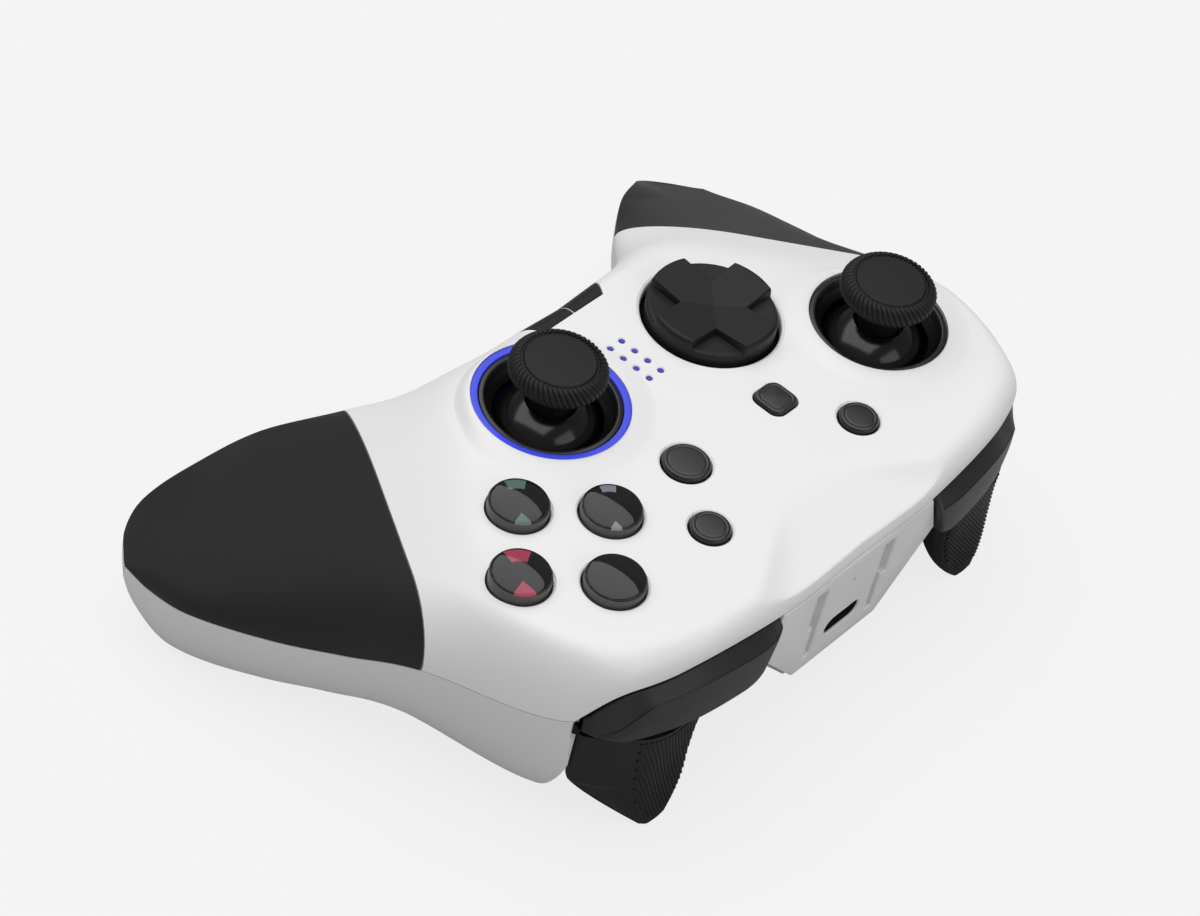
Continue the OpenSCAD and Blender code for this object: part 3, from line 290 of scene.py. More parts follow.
def filleted(corners, radii, steps=5, closed=True):
    # Replaces each corner of an outline by an arc that fits its two sides
    corners = [np.asarray(c, float) for c in corners]
    radii = [radii] * len(corners) if np.isscalar(radii) else radii
    path = []
    for i, corner in enumerate(corners):
        if not closed and i in (0, len(corners) - 1):
            path.append(corner)
            continue
        before, after = corners[i - 1] - corner, corners[(i + 1) % len(corners)] - corner
        reach = [np.linalg.norm(before), np.linalg.norm(after)]
        half = math.pi
        if min(reach) > 1e-9:
            before, after = before / reach[0], after / reach[1]
            half = math.acos(float(np.clip(before @ after, -1, 1))) / 2
        if half > math.pi / 2 - 1e-3:  # no corner to round
            path += [corner] * (steps + 1)
            continue
        back = min(radii[i] / math.tan(half), 0.45 * min(reach))
        start, end = corner + before * back, corner + after * back
        for k in range(steps + 1):
            t = k / steps
            path.append((1 - t) ** 2 * start + 2 * t * (1 - t) * corner + t * t * end)
    return np.array(path)


def lathe(name, profile, centre=(0.0, 0.0), segments=128):
    # profile is (radius, height) from the axis and back to it, or a closed outline off the axis
    profile = np.asarray(profile, float)
    points, rings, ring = [], [], circle(1.0, segments)
    for radius, height in profile:
        start = len(points)
        if radius < 1e-6:
            points.append((*centre, height))
            rings.append([start] * segments)
        else:
            points += atHeight(radius * ring + centre, height).tolist()
            rings.append(list(range(start, start + segments)))
    onAxis = profile[0][0] < 1e-6
    faces = []
    for low, high in zip(rings, rings[1:] if onAxis else rings[1:] + rings[:1]):
        for k in range(segments):
            n = (k + 1) % segments
            face = [low[k], low[n], high[n], high[k]]
            face = [v for i, v in enumerate(face) if v != face[i - 1]]
            if len(face) > 2:
                faces.append(face)
    return newPiece(name, newMesh(name, points, faces))


def prism(name, outline, low, high, axis="z"):
    ends = np.array([atHeight(outline, level) for level in (low, high)])
    return loft(name, ends if axis == "z" else ends[..., [0, 2, 1]])


def box(name, xs, ys, zs, sign=1):
    # Drawn on the right; sign -1 puts it on the left
    x0, x1 = sorted((sign * xs[0], sign * xs[1]))
    return prism(name, [(x0, ys[0]), (x1, ys[0]), (x1, ys[1]), (x0, ys[1])], *zs)


def joined(name, parts):
    # Several closed meshes that don't touch, as one tool
    points, faces, count = [], [], 0
    for part in parts:
        points += [tuple(v.co) for v in part.data.vertices]
        faces += [[count + v for v in polygon.vertices] for polygon in part.data.polygons]
        count = len(points)
        bpy.data.objects.remove(part)
    mesh = bpy.data.meshes.new(name)
    mesh.from_pydata(points, [], faces)
    return newPiece(name, mesh)


def tubeTree():
    # Turns a curve, repeated in a ring about a centre, into tubes; sizes are inputs in millimetres
    tree = bpy.data.node_groups.new("repeatedTubes", "GeometryNodeTree")
    face = tree.interface
    face.new_socket("Geometry", in_out="INPUT", socket_type="NodeSocketGeometry")
    for name, kind, value in (("Count", "NodeSocketInt", 1), ("Tube Radius", "NodeSocketFloat", 0.3),
                              ("Sides", "NodeSocketInt", 8), ("Centre", "NodeSocketVector", (0, 0, 0)),
                              ("Finish", "NodeSocketMaterial", None)):
        socket = face.new_socket(name, in_out="INPUT", socket_type=kind)
        if value is not None:
            socket.default_value = value
    face.new_socket("Geometry", in_out="OUTPUT", socket_type="NodeSocketGeometry")
    given = addNode(tree, "NodeGroupInput").outputs
    points = addNode(tree, "GeometryNodePoints", None, {"Count": given["Count"]})
    index = addNode(tree, "GeometryNodeInputIndex")
    share = addNode(tree, "ShaderNodeMath", {"operation": "DIVIDE"}, {
        0: index.outputs["Index"], 1: given["Count"]})
    angle = addNode(tree, "ShaderNodeMath", {"operation": "MULTIPLY"}, {
        0: share.outputs[0], 1: 2 * math.pi})
    spin = addNode(tree, "ShaderNodeCombineXYZ", None, {"Z": angle.outputs[0]})
    placed = addNode(tree, "GeometryNodeInstanceOnPoints", None, {
        "Points": points.outputs["Points"], "Instance": given["Geometry"],
        "Rotation": spin.outputs["Vector"]})
    moved = addNode(tree, "GeometryNodeTransform", None, {
        "Geometry": placed.outputs["Instances"], "Translation": given["Centre"]})
    solid = addNode(tree, "GeometryNodeRealizeInstances", None, {"Geometry": moved.outputs["Geometry"]})
    round_ = addNode(tree, "GeometryNodeCurvePrimitiveCircle", None, {
        "Resolution": given["Sides"], "Radius": given["Tube Radius"]})
    tubes = addNode(tree, "GeometryNodeCurveToMesh", None, {
        "Curve": solid.outputs["Geometry"], "Profile Curve": round_.outputs["Curve"], "Fill Caps": True})
    painted = addNode(tree, "GeometryNodeSetMaterial", None, {
        "Geometry": tubes.outputs["Mesh"], "Material": given["Finish"]})
    addNode(tree, "NodeGroupOutput", None, {"Geometry": painted.outputs["Geometry"]})
    return tree


def setInput(modifier, name, value):
    for item in modifier.node_group.interface.items_tree:
        if item.item_type == "SOCKET" and item.in_out == "INPUT" and item.name == name:
            modifier[item.identifier] = value


repeatedTubes = tubeTree()


def tubes(name, paths, radius, finish, count=1, centre=(0, 0, 0), around=8, thin=None):
    # paths are rows of points in drawing millimetres; thin tapers each tube along its path
    curve = bpy.data.curves.new(name + "Path", "CURVE")
    curve.dimensions = "3D"
    for path in paths:
        line = curve.splines.new("POLY")
        line.points.add(len(path) - 1)
        for k, (point, place) in enumerate(zip(line.points, path)):
            point.co = (*map(float, place), 1.0)
            point.radius = 1.0 if thin is None else float(thin[k])
    drawn = newPiece(name + "Path", curve)
    repeat = drawn.modifiers.new("tubes", "NODES")
    repeat.node_group = repeatedTubes
    for socket, value in (("Count", count), ("Tube Radius", radius), ("Sides", around),
                          ("Centre", centre), ("Finish", finish)):
        setInput(repeat, socket, value)
    depsgraph = bpy.context.evaluated_depsgraph_get()
    mesh = bpy.data.meshes.new_from_object(drawn.evaluated_get(depsgraph))
    bpy.data.objects.remove(drawn)
    return newPiece(name, mesh)


def smoothStep(t):
    t = np.clip(t, 0, 1)
    return t * t * (3 - 2 * t)


def late(t, start, power):
    # Nothing up to start, then up to 1 where t is 1
    return max(0, (t - start) / (1 - start)) ** power


# Camera at the photograph's viewing angle
camera = {
    "place": (387.85, 236.70, 429.38), "focalPixels": 3642.0, "imageWidth": 1200.0, "sensor": 36.0,
    "right": (-0.65341429, 0.73673405, 0.17399056),
    "down": (0.45797669, 0.56773308, -0.68405884),
    "forward": (-0.60274964, -0.3672902, -0.70837192),
}
lens = bpy.data.cameras.new("photoCamera")
lens.sensor_fit = "HORIZONTAL"
lens.sensor_width = camera["sensor"]
lens.lens = camera["focalPixels"] / camera["imageWidth"] * camera["sensor"]
lens.clip_start, lens.clip_end = 0.01, 20
photoCamera = newPiece("photoCamera", lens)
axes = np.array([camera["right"], -np.array(camera["down"]), -np.array(camera["forward"])])
pose = np.column_stack([turn @ axes.T, toFrame(camera["place"])])
photoCamera.matrix_world = Matrix([*pose.tolist(), [0, 0, 0, 1]])
bpy.context.scene.camera = photoCamera
print("camera placed")


# Body surface: cross-sections from the user's edge to the front edge, fanned out into the grips
body = {
    "station": [0, 0.25, 0.5, 0.75, 1, 1.25, 1.5, 1.75, 1.9, 2],
    "innerX": [0, 10, 19.5, 28.5, 36, 47, 57.5, 66, 72, 77],
    "innerY": [-17.5, -18, -19.9, -23.7, -30.3, -37.7, -42.5, -46.17, -44.3, -39],
    "innerZ": [-13, -13, -13.5, -14.8, -17, -19.5, -24.5, -31, -33.6, -34.2],
    "outerX": [0, 20.3, 44, 58.5, 67, 70, 74, 78, 77.7, 77],
    "outerY": [54.5, 54.5, 51.5, 43, 18.5, 5, -8, -23, -32.5, -39],
    "outerZ": [-5.3, -5.3, -5.3, -13.7, -17, -23.3, -28, -31.7, -34, -34.2],
    "topRoundIn": [5, 5, 9, 14.5, 23, 26, 26, 22, 15, 8],
    "topRoundOut": [4, 4, 5, 8, 13, 17, 18.5, 17.5, 13, 8],
    "bellyZ": [-32.5, -32.5, -33, -35.64, -38.3, -43.8, -48, -48.3, -43.3, -36.5],
    "bellyRoundIn": [16, 16, 17, 18, 20, 20, 20, 18, 14, 8],
    "bellyRoundOut": [1.5, 2, 4, 6.5, 17, 19, 19, 17.5, 13, 8],
    "bellyRiseFrom": 40.0, "bellyRise": 0.3,
    "fallSlope": 0.633, "fallStart": 30.3, "fallRound": 3.5, "fallDirection": (0.763, -0.647),
    "edgePower": 2.2, "tip": (77.0, -39.0, -34.2), "tipEnd": 1.996,
    "cornerLift": 3.65, "cornerFrom": 0.5, "cornerTo": 0.745, "cornerSkew": 1.6,
    "bodySteps": 90, "gripSteps": 70, "across": 84,
}


def along(s, values):
    stations, v = np.array(body["station"], float), np.array(values, float)
    k = np.clip(np.searchsorted(stations, s, side="right") - 1, 0, len(stations) - 2)
    low, high = np.maximum(np.arange(len(v)) - 1, 0), np.minimum(np.arange(len(v)) + 1, len(v) - 1)
    slope = (v[high] - v[low]) / (stations[high] - stations[low])
    h = stations[k + 1] - stations[k]
    t = (s - stations[k]) / h
    return ((1 + 2 * t) * (1 - t) ** 2 * v[k] + t * (1 - t) ** 2 * h * slope[k]
            + t * t * (3 - 2 * t) * v[k + 1] + t * t * (t - 1) * h * slope[k + 1])


def faceLevel(x, y):
    d = body["fallDirection"][0] * np.abs(x) + body["fallDirection"][1] * y - body["fallStart"]
    return -body["fallSlope"] * (np.sqrt(d * d + body["fallRound"] ** 2) + d) / 2


def edgeRise(t):
    p = body["edgePower"]
    return (1 - (1 - np.clip(t, 0, 1)) ** p) ** (1 / p)


def innerEdge(s):
    return np.stack([along(s, body["inner" + axis]) for axis in "XYZ"], -1)


def outerEdge(s):
    u = np.clip((s - body["cornerFrom"]) / (body["cornerTo"] - body["cornerFrom"]), 0, 1)
    edge = np.stack([along(s, body["outer" + axis]) for axis in "XYZ"], -1)
    edge[..., 2] += body["cornerLift"] * np.sin(math.pi * u ** body["cornerSkew"])
    return edge


def sections(s, up, inset=0.0):
    # Rows of points, one row for each station value; negative values are the left half
    s = np.asarray(s, float)
    side, s = np.where(s < 0, -1.0, 1.0), np.abs(s)
    w = (1 - np.cos(np.linspace(0, math.pi, body["across"] + 1))) / 2
    inner, outer = innerEdge(s), outerEdge(s)
    width = np.linalg.norm((outer - inner)[:, :2], axis=1)
    roundIn = along(s, body["topRoundIn" if up else "bellyRoundIn"])
    roundOut = along(s, body["topRoundOut" if up else "bellyRoundOut"])
    squeeze = np.minimum(1, width / (roundIn + roundOut))
    roundIn, roundOut = np.maximum(0.01, roundIn * squeeze), np.maximum(0.01, roundOut * squeeze)
    root = (innerEdge(np.array([1.0])) + outerEdge(np.array([1.0])))[0] / 2
    middle = (inner + outer) / 2
    pull = np.where(s > 1, inset / np.linalg.norm((np.array(body["tip"]) - root)[:2]), 0)
    nearest = np.minimum(s, 1)
    span = np.linalg.norm((outerEdge(nearest) - innerEdge(nearest))[:, :2], axis=1)
    half = (outer - inner) / 2 * (1 - inset / np.maximum(span / 2, 2 * inset + 1e-9))[:, None]
    line = inner[:, None] + (outer - inner)[:, None] * w[None, :, None]
    wide = width[:, None]
    rise = edgeRise(w * wide / roundIn[:, None]) * edgeRise((1 - w) * wide / roundOut[:, None])
    if up:
        level = faceLevel(line[..., 0], line[..., 1])
    else:
        level = along(s, body["bellyZ"])[:, None]
        level = level + body["bellyRise"] * np.maximum(0, line[..., 1] - body["bellyRiseFrom"])
    height = (level - line[..., 2]) * rise
    centre = middle + (root - middle) * pull[:, None]
    points = centre[:, None] + half[:, None] * (2 * w - 1)[None, :, None]
    height = np.maximum(0, height - inset) if up else np.minimum(0, height + inset)
    points[..., 2] = line[..., 2] + (halfSeam if up else -halfSeam) + height
    points[..., 0] *= side[:, None]
    return points


def shell(name, stations, up):
    # Outside and inside of a moulded wall
    return closedSheet(name, *(sections(stations, up, inset) for inset in (0, layout["wall"])))


def bothSides(s):
    return np.concatenate([-s[:0:-1], s])


def lidOver(grid, bulge):
    # A sheet from end to end of each row, bulged so that it touches the grid only there
    w = (1 - np.cos(np.linspace(0, math.pi, grid.shape[1]))) / 2
    lid = grid[:, :1] + (grid[:, -1:] - grid[:, :1]) * w[None, :, None]
    lid[..., 2] += bulge * np.sin(math.pi * w)
    return lid


bodyStations = np.linspace(0, 1, body["bodySteps"] + 1)


def gripStations(start):
    return start + (body["tipEnd"] - start) * np.sin(np.linspace(0, math.pi / 2, body["gripSteps"] + 1))


wholeStations = bothSides(np.concatenate([bodyStations, gripStations(1.0)[1:]]))


# Top cover: white face with wells, button holes and the shallow facet towards the front panel
topCover = {
    "facetHalfIn": 7.0, "facetHalfOut": 24.0, "facetIn": 41.6, "facetOut": 51.1, "facetDrop": 2.6,
    "facetSideSlope": 0.55, "facetSoft": 0.35,
    "facetDeepest": 3.0, "facetBlend": 0.12,
    "edgeFlare": 0.28, "flareFall": 1.2, "flareClear": 0.12, "padFlare": 0.5, "ledFlare": 0.1,
    "holeTop": 5.0, "holeLow": -16.0,
    "lipHeight": 0.62, "lipWidth": 5.2, "lipRoot": 0.8, "lipRound": 0.7, "lipFall": -1.4,
    "ringWell": 12.6, "lightWell": 13.85, "padHole": 12.6,
    "button": 5.55, "home": 4.5, "menu": 3.8, "captureHalf": 3.5, "captureRound": 2.1,
    "led": 0.6, "ledPitch": 3.0, "ledY": 2.4,
}


def softMin(a, b, soft):
    return -soft * np.logaddexp(-a / soft, -b / soft)


def facetLevel(x, y):
    # Distance inside the facet's slanted sides sets how far its soft walls have come down
    t = topCover
    side = np.array([t["facetHalfOut"] - t["facetHalfIn"], t["facetOut"] - t["facetIn"]])
    side /= np.linalg.norm(side)
    fromSide = (y - t["facetIn"]) * side[0] - (np.abs(x) - t["facetHalfIn"]) * side[1]
    plane = (y - t["facetIn"]) * t["facetDrop"] / (layout["frontY"] - t["facetIn"])
    wallDrop = fromSide * t["facetSideSlope"]
    beyond = np.maximum(0, np.abs(x) - t["facetHalfOut"]) * t["facetSideSlope"]
    return -np.maximum(softMin(plane, wallDrop - beyond, t["facetSoft"]), -t["facetDeepest"])


def flaredHole(name, radius, centre, flare=topCover["edgeFlare"]):
    t, level = topCover, float(faceLevel(*np.array(centre)))
    fall, wide = flare * t["flareFall"], radius + flare + t["flareClear"]
    rim = arc(1.0, 0, math.pi / 2, 5) * (-flare, fall) + (radius + flare, level - fall)
    profile = [(0, t["holeLow"]), (radius, t["holeLow"]), *rim, (wide, level + t["flareClear"]),
               (wide, t["holeTop"]), (0, t["holeTop"])]
    return lathe(name, profile, centre, 96)


def stickLip(name, cover, radius, centre):
    # Soft raised lip round a stick well; its foot runs out into the face, short of where the face falls
    t, start = topCover, radius - 0.4
    mesh = cover.data
    face = BVHTree.FromPolygons([v.co for v in mesh.vertices], [p.vertices for p in mesh.polygons])
    spokes = circle(1.0, 128)
    steps = np.arange(0, t["lipWidth"] + 0.3, 0.2)

    def heightAt(r, spoke):
        hit = face.ray_cast(Vector((*(r * spoke + centre), 9)), Vector((0, 0, -1)))[0]
        return -9.0 if hit is None else hit.z

    heights = np.array([[heightAt(start + step, spoke) for step in steps] for spoke in spokes])
    fallen = heights < t["lipFall"]
    reach = np.where(fallen.any(axis=1), steps[np.argmax(fallen, axis=1)], t["lipWidth"])
    reach = np.clip(np.min([np.roll(reach, k) for k in range(-4, 5)], axis=0), 1.0, t["lipWidth"])
    reach = np.mean([np.roll(reach, k) for k in range(-4, 5)], axis=0)
    share = np.concatenate([np.linspace(0, 0.22, 7), np.linspace(0.28, 1, 14)])
    r = start + share[:, None] * reach
    x, y = (centre[i] + r * spokes[:, i] for i in (0, 1))
    level = np.array([np.interp(share * far, steps, row) for far, row in zip(reach, heights)]).T
    foot = smoothStep((share - 0.18) / 0.82)[:, None]
    crown = t["lipHeight"] - t["lipRound"] * np.maximum(0, 0.35 - (r - radius)) ** 2
    top = crown * (1 - foot) + (level - 0.03) * foot
    low = np.minimum(level, top) - t["lipRoot"]
    rings = np.concatenate([np.stack([x, y, top], -1), np.stack([x, y, low], -1)[::-1]])
    return loft(name, rings, wrap=True)


def roundedSquare(half, radius):
    corners = ((1, 1), (-1, 1), (-1, -1), (1, -1))
    return np.concatenate([
        (half - radius) * np.array(corner) + arc(radius, k * math.pi / 2, (k + 1) * math.pi / 2, 9)
        for k, corner in enumerate(corners)])


functionKey = {
    "split": 0.25, "outer": 12.4, "inner": 7.5, "innerY": -12.1, "edgeY": -19.5, "low": -8.0,
    "travel": 0.7, "clear": 0.3, "pastEdge": 1.0, "flare": 0.64,
}


def keyOutline(sign, grow):
    k = functionKey
    near, far = k["edgeY"] - k["pastEdge"], k["innerY"] + grow
    return handed([(k["split"] - grow, near), (k["outer"] + k["flare"] + grow, near),
                   (k["inner"] + grow, far), (k["split"] - grow, far)], sign)


def clusterPlace(i):
    step = ((1, 0), (-1, 0), (0, 1), (0, -1))[i]
    return tuple(layout["cluster"][k] + step[k] * layout["pitch"][k] for k in (0, 1))


def ledPlaces():
    t = topCover
    return [(x * t["ledPitch"], t["ledY"] + y * t["ledPitch"])
            for x in (-0.5, 0.5) for y in (-1.5, -0.5, 0.5, 1.5)]


def makeTopCover():
    t, key = topCover, functionKey
    low, top = t["holeLow"], t["holeTop"]
    stations = bothSides(bodyStations)
    outer = sections(stations, True)
    outer[..., 2] = softMin(outer[..., 2], facetLevel(outer[..., 0], outer[..., 1]), t["facetBlend"])
    inner = sections(stations, True, layout["wall"])
    inner[..., 2] = np.minimum(inner[..., 2], outer[..., 2])
    cover, holes = closedSheet("topCover", outer, inner), []
    for name, radius in (("leftStick", t["ringWell"]), ("rightStick", t["lightWell"])):
        combine(cover, stickLip(name + "Lip", cover, radius, layout[name]), "UNION")
        holes.append(lathe(name + "Well", [(0, low), (radius, low), (radius, top), (0, top)], layout[name]))
    capture = roundedSquare(t["captureHalf"], t["captureRound"]) + layout["capture"]
    holes += [
        flaredHole("padHole", t["padHole"], layout["pad"], t["padFlare"]),
        flaredHole("homeHole", t["home"], layout["home"]),
        flaredHole("plusHole", t["menu"], layout["plus"]),
        flaredHole("minusHole", t["menu"], layout["minus"]),
        prism("captureHole", capture, low, top),
    ]
    holes += [flaredHole("buttonHole", t["button"], clusterPlace(i)) for i in range(4)]
    holes += [flaredHole("ledHole", t["led"], place, t["ledFlare"]) for place in ledPlaces()]
    keyFloor = key["low"] - key["travel"] - key["clear"]
    holes += [prism("keyHole", keyOutline(sign, layout["seam"]), keyFloor, top) for sign in (1, -1)]
    combine(cover, joined("faceHoles", holes), "DIFFERENCE")
    settle(cover, "case", ["top_shell"], whiteAbs, 28)


makeTopCover()
print("top cover made")


# Grip covers: soft black skins over the grips
def makeGripCovers():
    stations = gripStations(1.0 + layout["seam"] / 40)  # a station is about 40 mm long here
    for name, sign in sides.items():
        cover = shell(name + "GripCover", sign * stations, True)
        settle(cover, "case", [name + "_grip_cover"], softTouch, 40)


makeGripCovers()
print("grip covers made")


# Bottom cover: belly and grips, trigger bays and the front panel with its slots
bottomCover = {
    "bayY": 43.5, "bayWall": 1.6, "kneeWall": 2.24, "bayDeep": -70.0,
    "panelHalf": 20.3, "panelFoot": 11.4, "panelDepth": 27.7, "kneeX": 23.8, "kneeZ": -14.3, "rimZ": -5.3,
    "panelThick": 2.4, "panelProud": 0.3, "panelRound": 0.35,
    "pocketX": (33.0, 57.0), "pocketY": 38.2, "pocketTop": -8.0, "pocketWallTop": -10.4,
    "bumperDepth": 17.0, "swing": 0.3,
    "slotX": 7.6, "slotW": 3.3, "slotLowW": 1.8, "slotTop": -7.9, "slotStep": -16.6, "slotFoot": -24.5,
    "slotDeep": 1.5, "slotEase": 0.25, "resetZ": -11.2, "resetR": 0.5, "resetEase": 0.15,
    "usbZ": -20.8, "usbW": 8.9, "usbH": 3.2, "usbDeep": 6.0,
    "mouthWall": 0.25, "mouthPlay": 0.02, "mouthFrom": 0.45, "mouthDeep": 5.0, "trim": 0.8,
    "lugX": (21.56, 29.3), "lugY": (47.4, 52.9), "lugZ": (-14.0, -11.6),
}
panelSide = [(bottomCover["panelHalf"], bottomCover["rimZ"]), (bottomCover["kneeX"], bottomCover["kneeZ"]),
             (bottomCover["panelFoot"], -bottomCover["panelDepth"])]


def stadium(width, height, steps=12):
    right = arc(height / 2, -math.pi / 2, math.pi / 2, steps) + ((width - height) / 2, 0)
    return np.concatenate([right, -right])


def socketOutline(grow):
    b = bottomCover
    return stadium(b["usbW"] + grow, b["usbH"] + grow) + (0, b["usbZ"])


def bayCuts(sign):
    b, far = bottomCover, layout["halfWidth"]
    outline = [(b["panelHalf"], 0), *panelSide, (b["panelFoot"], b["bayDeep"]), (far, b["bayDeep"]), (far, 0)]
    front, pocketEnd = b["bayY"] + 1, b["pocketX"][1]
    return [
        prism("bayCut", handed(outline, sign), b["bayY"], layout["frontY"] + 10, "y"),
        box("pocketCut", b["pocketX"], (b["pocketY"], front), (b["bayDeep"], b["pocketTop"]), sign),
        box("shelfCut", (pocketEnd - 1, far), (b["bayY"] - b["swing"], front),
            (-b["bumperDepth"] - 1, b["pocketTop"]), sign),
    ]


def bayWalls(sign):
    b = bottomCover
    t, deep, foot, bayY, (x0, x1) = b["bayWall"], b["bayDeep"], b["panelFoot"], b["bayY"], b["pocketX"]
    outline = [(b["panelHalf"] - t, 0), (b["panelHalf"], 0), *panelSide, (foot, deep), (foot - t, deep),
               (foot - t, -b["panelDepth"]), (b["kneeX"] - b["kneeWall"], b["kneeZ"]),
               (b["panelHalf"] - t, b["rimZ"])]
    pocket = box("pocketWall", (x0 - t, x1 + t), (b["pocketY"] - t, bayY), (deep, b["pocketWallTop"]), sign)
    room = box("pocketRoom", (x0, x1), (b["pocketY"], bayY + 1), (deep - 1, 0), sign)
    combine(pocket, room, "DIFFERENCE")
    walls = box("backWall", (foot - t, x0), (bayY - t, bayY), (deep, 0), sign)
    front = layout["frontY"] - b["panelThick"] / 2
    combine(walls, prism("panelWall", handed(outline, sign), bayY - t, front, "y"), "UNION")
    return combine(walls, pocket, "UNION")


def frontPanel():
    b, front = bottomCover, layout["frontY"]
    top = b["rimZ"] - layout["seam"]
    outline = [(-b["panelHalf"], top), (b["panelHalf"], top), *panelSide[1:]]
    outline += [(-x, z) for x, z in panelSide[:0:-1]]
    panel = prism("frontPanel", outline, front - b["panelThick"], front + b["panelProud"], "y")
    return softenEdges(panel, b["panelRound"], 40, 3)


def flaredCut(name, narrow, wide, floor):
    # A cut along y whose edge at the panel is eased
    face, ease = layout["frontY"] + bottomCover["panelProud"], bottomCover["slotEase"]
    rows = [(narrow, floor), (narrow, face - ease), (wide, face), (wide, face + 2)]
    return loft(name, [atHeight(shape, y)[:, [0, 2, 1]] for shape, y in rows])


def panelCuts():
    b = bottomCover
    e, floor = b["slotEase"], layout["frontY"] + b["panelProud"] - b["slotDeep"]
    x0, x1, x2 = b["slotX"], b["slotX"] + b["slotW"], b["slotX"] + b["slotLowW"]
    stepped = np.array([(x0, b["slotTop"]), (x1, b["slotTop"]), (x1, b["slotStep"]), (x2, b["slotStep"]),
                        (x2, b["slotFoot"]), (x0, b["slotFoot"])])
    eased = stepped + e * np.array([(-1, 1), (1, 1), (1, -1), (1, -1), (1, -1), (-1, -1)])
    cuts = [flaredCut("slot", handed(stepped, sign), handed(eased, sign), floor) for sign in (1, -1)]
    # the socket hole is cut wide enough for the black sleeve that paints the shade inside it
    mouth = [socketOutline(2 * (b["mouthWall"] + ease)) for ease in (0, e)]
    cuts.append(flaredCut("socketHole", *mouth, layout["frontY"] - b["usbDeep"]))
    reset = [circle(b["resetR"] + ease, 24) + (0, b["resetZ"]) for ease in (0, b["resetEase"])]
    cuts.append(flaredCut("resetHole", *reset, floor))
    return joined("panelCuts", cuts)


def makeBottomCover():
    b = bottomCover
    cover = shell("bottomCover", wholeStations, False)
    for sign in (1, -1):
        for tool in bayCuts(sign):
            combine(cover, tool, "DIFFERENCE")
    grid = sections(wholeStations, False, b["trim"])
    for sign in (1, -1):
        walls = bayWalls(sign)
        combine(walls, closedSheet("bellyFill", grid, lidOver(grid, 1.0)), "INTERSECT")
        combine(cover, walls, "UNION")
    combine(cover, frontPanel(), "UNION")
    combine(cover, panelCuts(), "DIFFERENCE")
    for sign in (1, -1):
        combine(cover, box("lugShelf", b["lugX"], b["lugY"], b["lugZ"], sign), "UNION")
    settle(cover, "case", ["bottom_shell"], lightAbs, 28)


def makeSocketShadeSleeve():
    # Matt black sleeve round the charging socket, a little behind the panel: painted shade for the dark inside of
    # the socket
    b = bottomCover
    end = layout["frontY"] + b["panelProud"] - b["mouthFrom"]
    start = end - b["mouthDeep"]
    mouth = prism("socketShadeSleeve", socketOutline(2 * b["mouthWall"] - b["mouthPlay"]), start, end, "y")
    combine(mouth, prism("mouthRoom", socketOutline(0), start - 1, end + 1, "y"), "DIFFERENCE")
    settle(mouth, "case", [], mattBlackAbs, 35)


makeBottomCover()
makeSocketShadeSleeve()
print("bottom cover made")


# Function keys: cut from the same surface as the face
def makeFunctionKeys():
    grid = sections(bothSides(np.linspace(0, 0.5, 60)), True)
    for name, sign in sides.items():
        key = prism(name + "FunctionKey", keyOutline(sign, 0), functionKey["low"], topCover["holeTop"])
        combine(key, closedSheet("keyFill", grid, lidOver(grid, -1.0)), "INTERSECT")
        settle(key, name + "_key", [name + "_function_key"], mattBlackAbs, 35)


makeFunctionKeys()
print("function keys made")


# Bumpers: a bent skin that follows the front edge, with a crease along it
bumper = {
    "from": 21.2, "to": 57.4, "rows": 90, "crowd": 1.5, "skin": 2.2, "depth": 17.0, "least": 1.2,
    "belowEdge": 0.6, "cornerClear": 0.7, "kneeGap": 0.4, "deepWithin": 5.0, "endFrom": 0.85, "endLift": 2.7,
    "outStart": 0.4, "out": 2.3, "outWithin": 0.24, "endThin": 0.6, "edgeRound": 0.3, "innerRound": 0.15,
    "creaseDrop": 2.6, "creaseGroove": 0.24, "creaseHalf": 0.2, "creaseRound": 0.06,
    "creaseFall": (0.74, 0.24),  # where the crease starts to run down to the lower edge, and over how much
}


def edgeStation(x):
    low, high = 0.2, 0.8
    for _ in range(30):
        middle = (low + high) / 2
        if along(np.array([middle]), body["outerX"])[0] < x:
            low = middle
        else:
            high = middle
    return (low + high) / 2


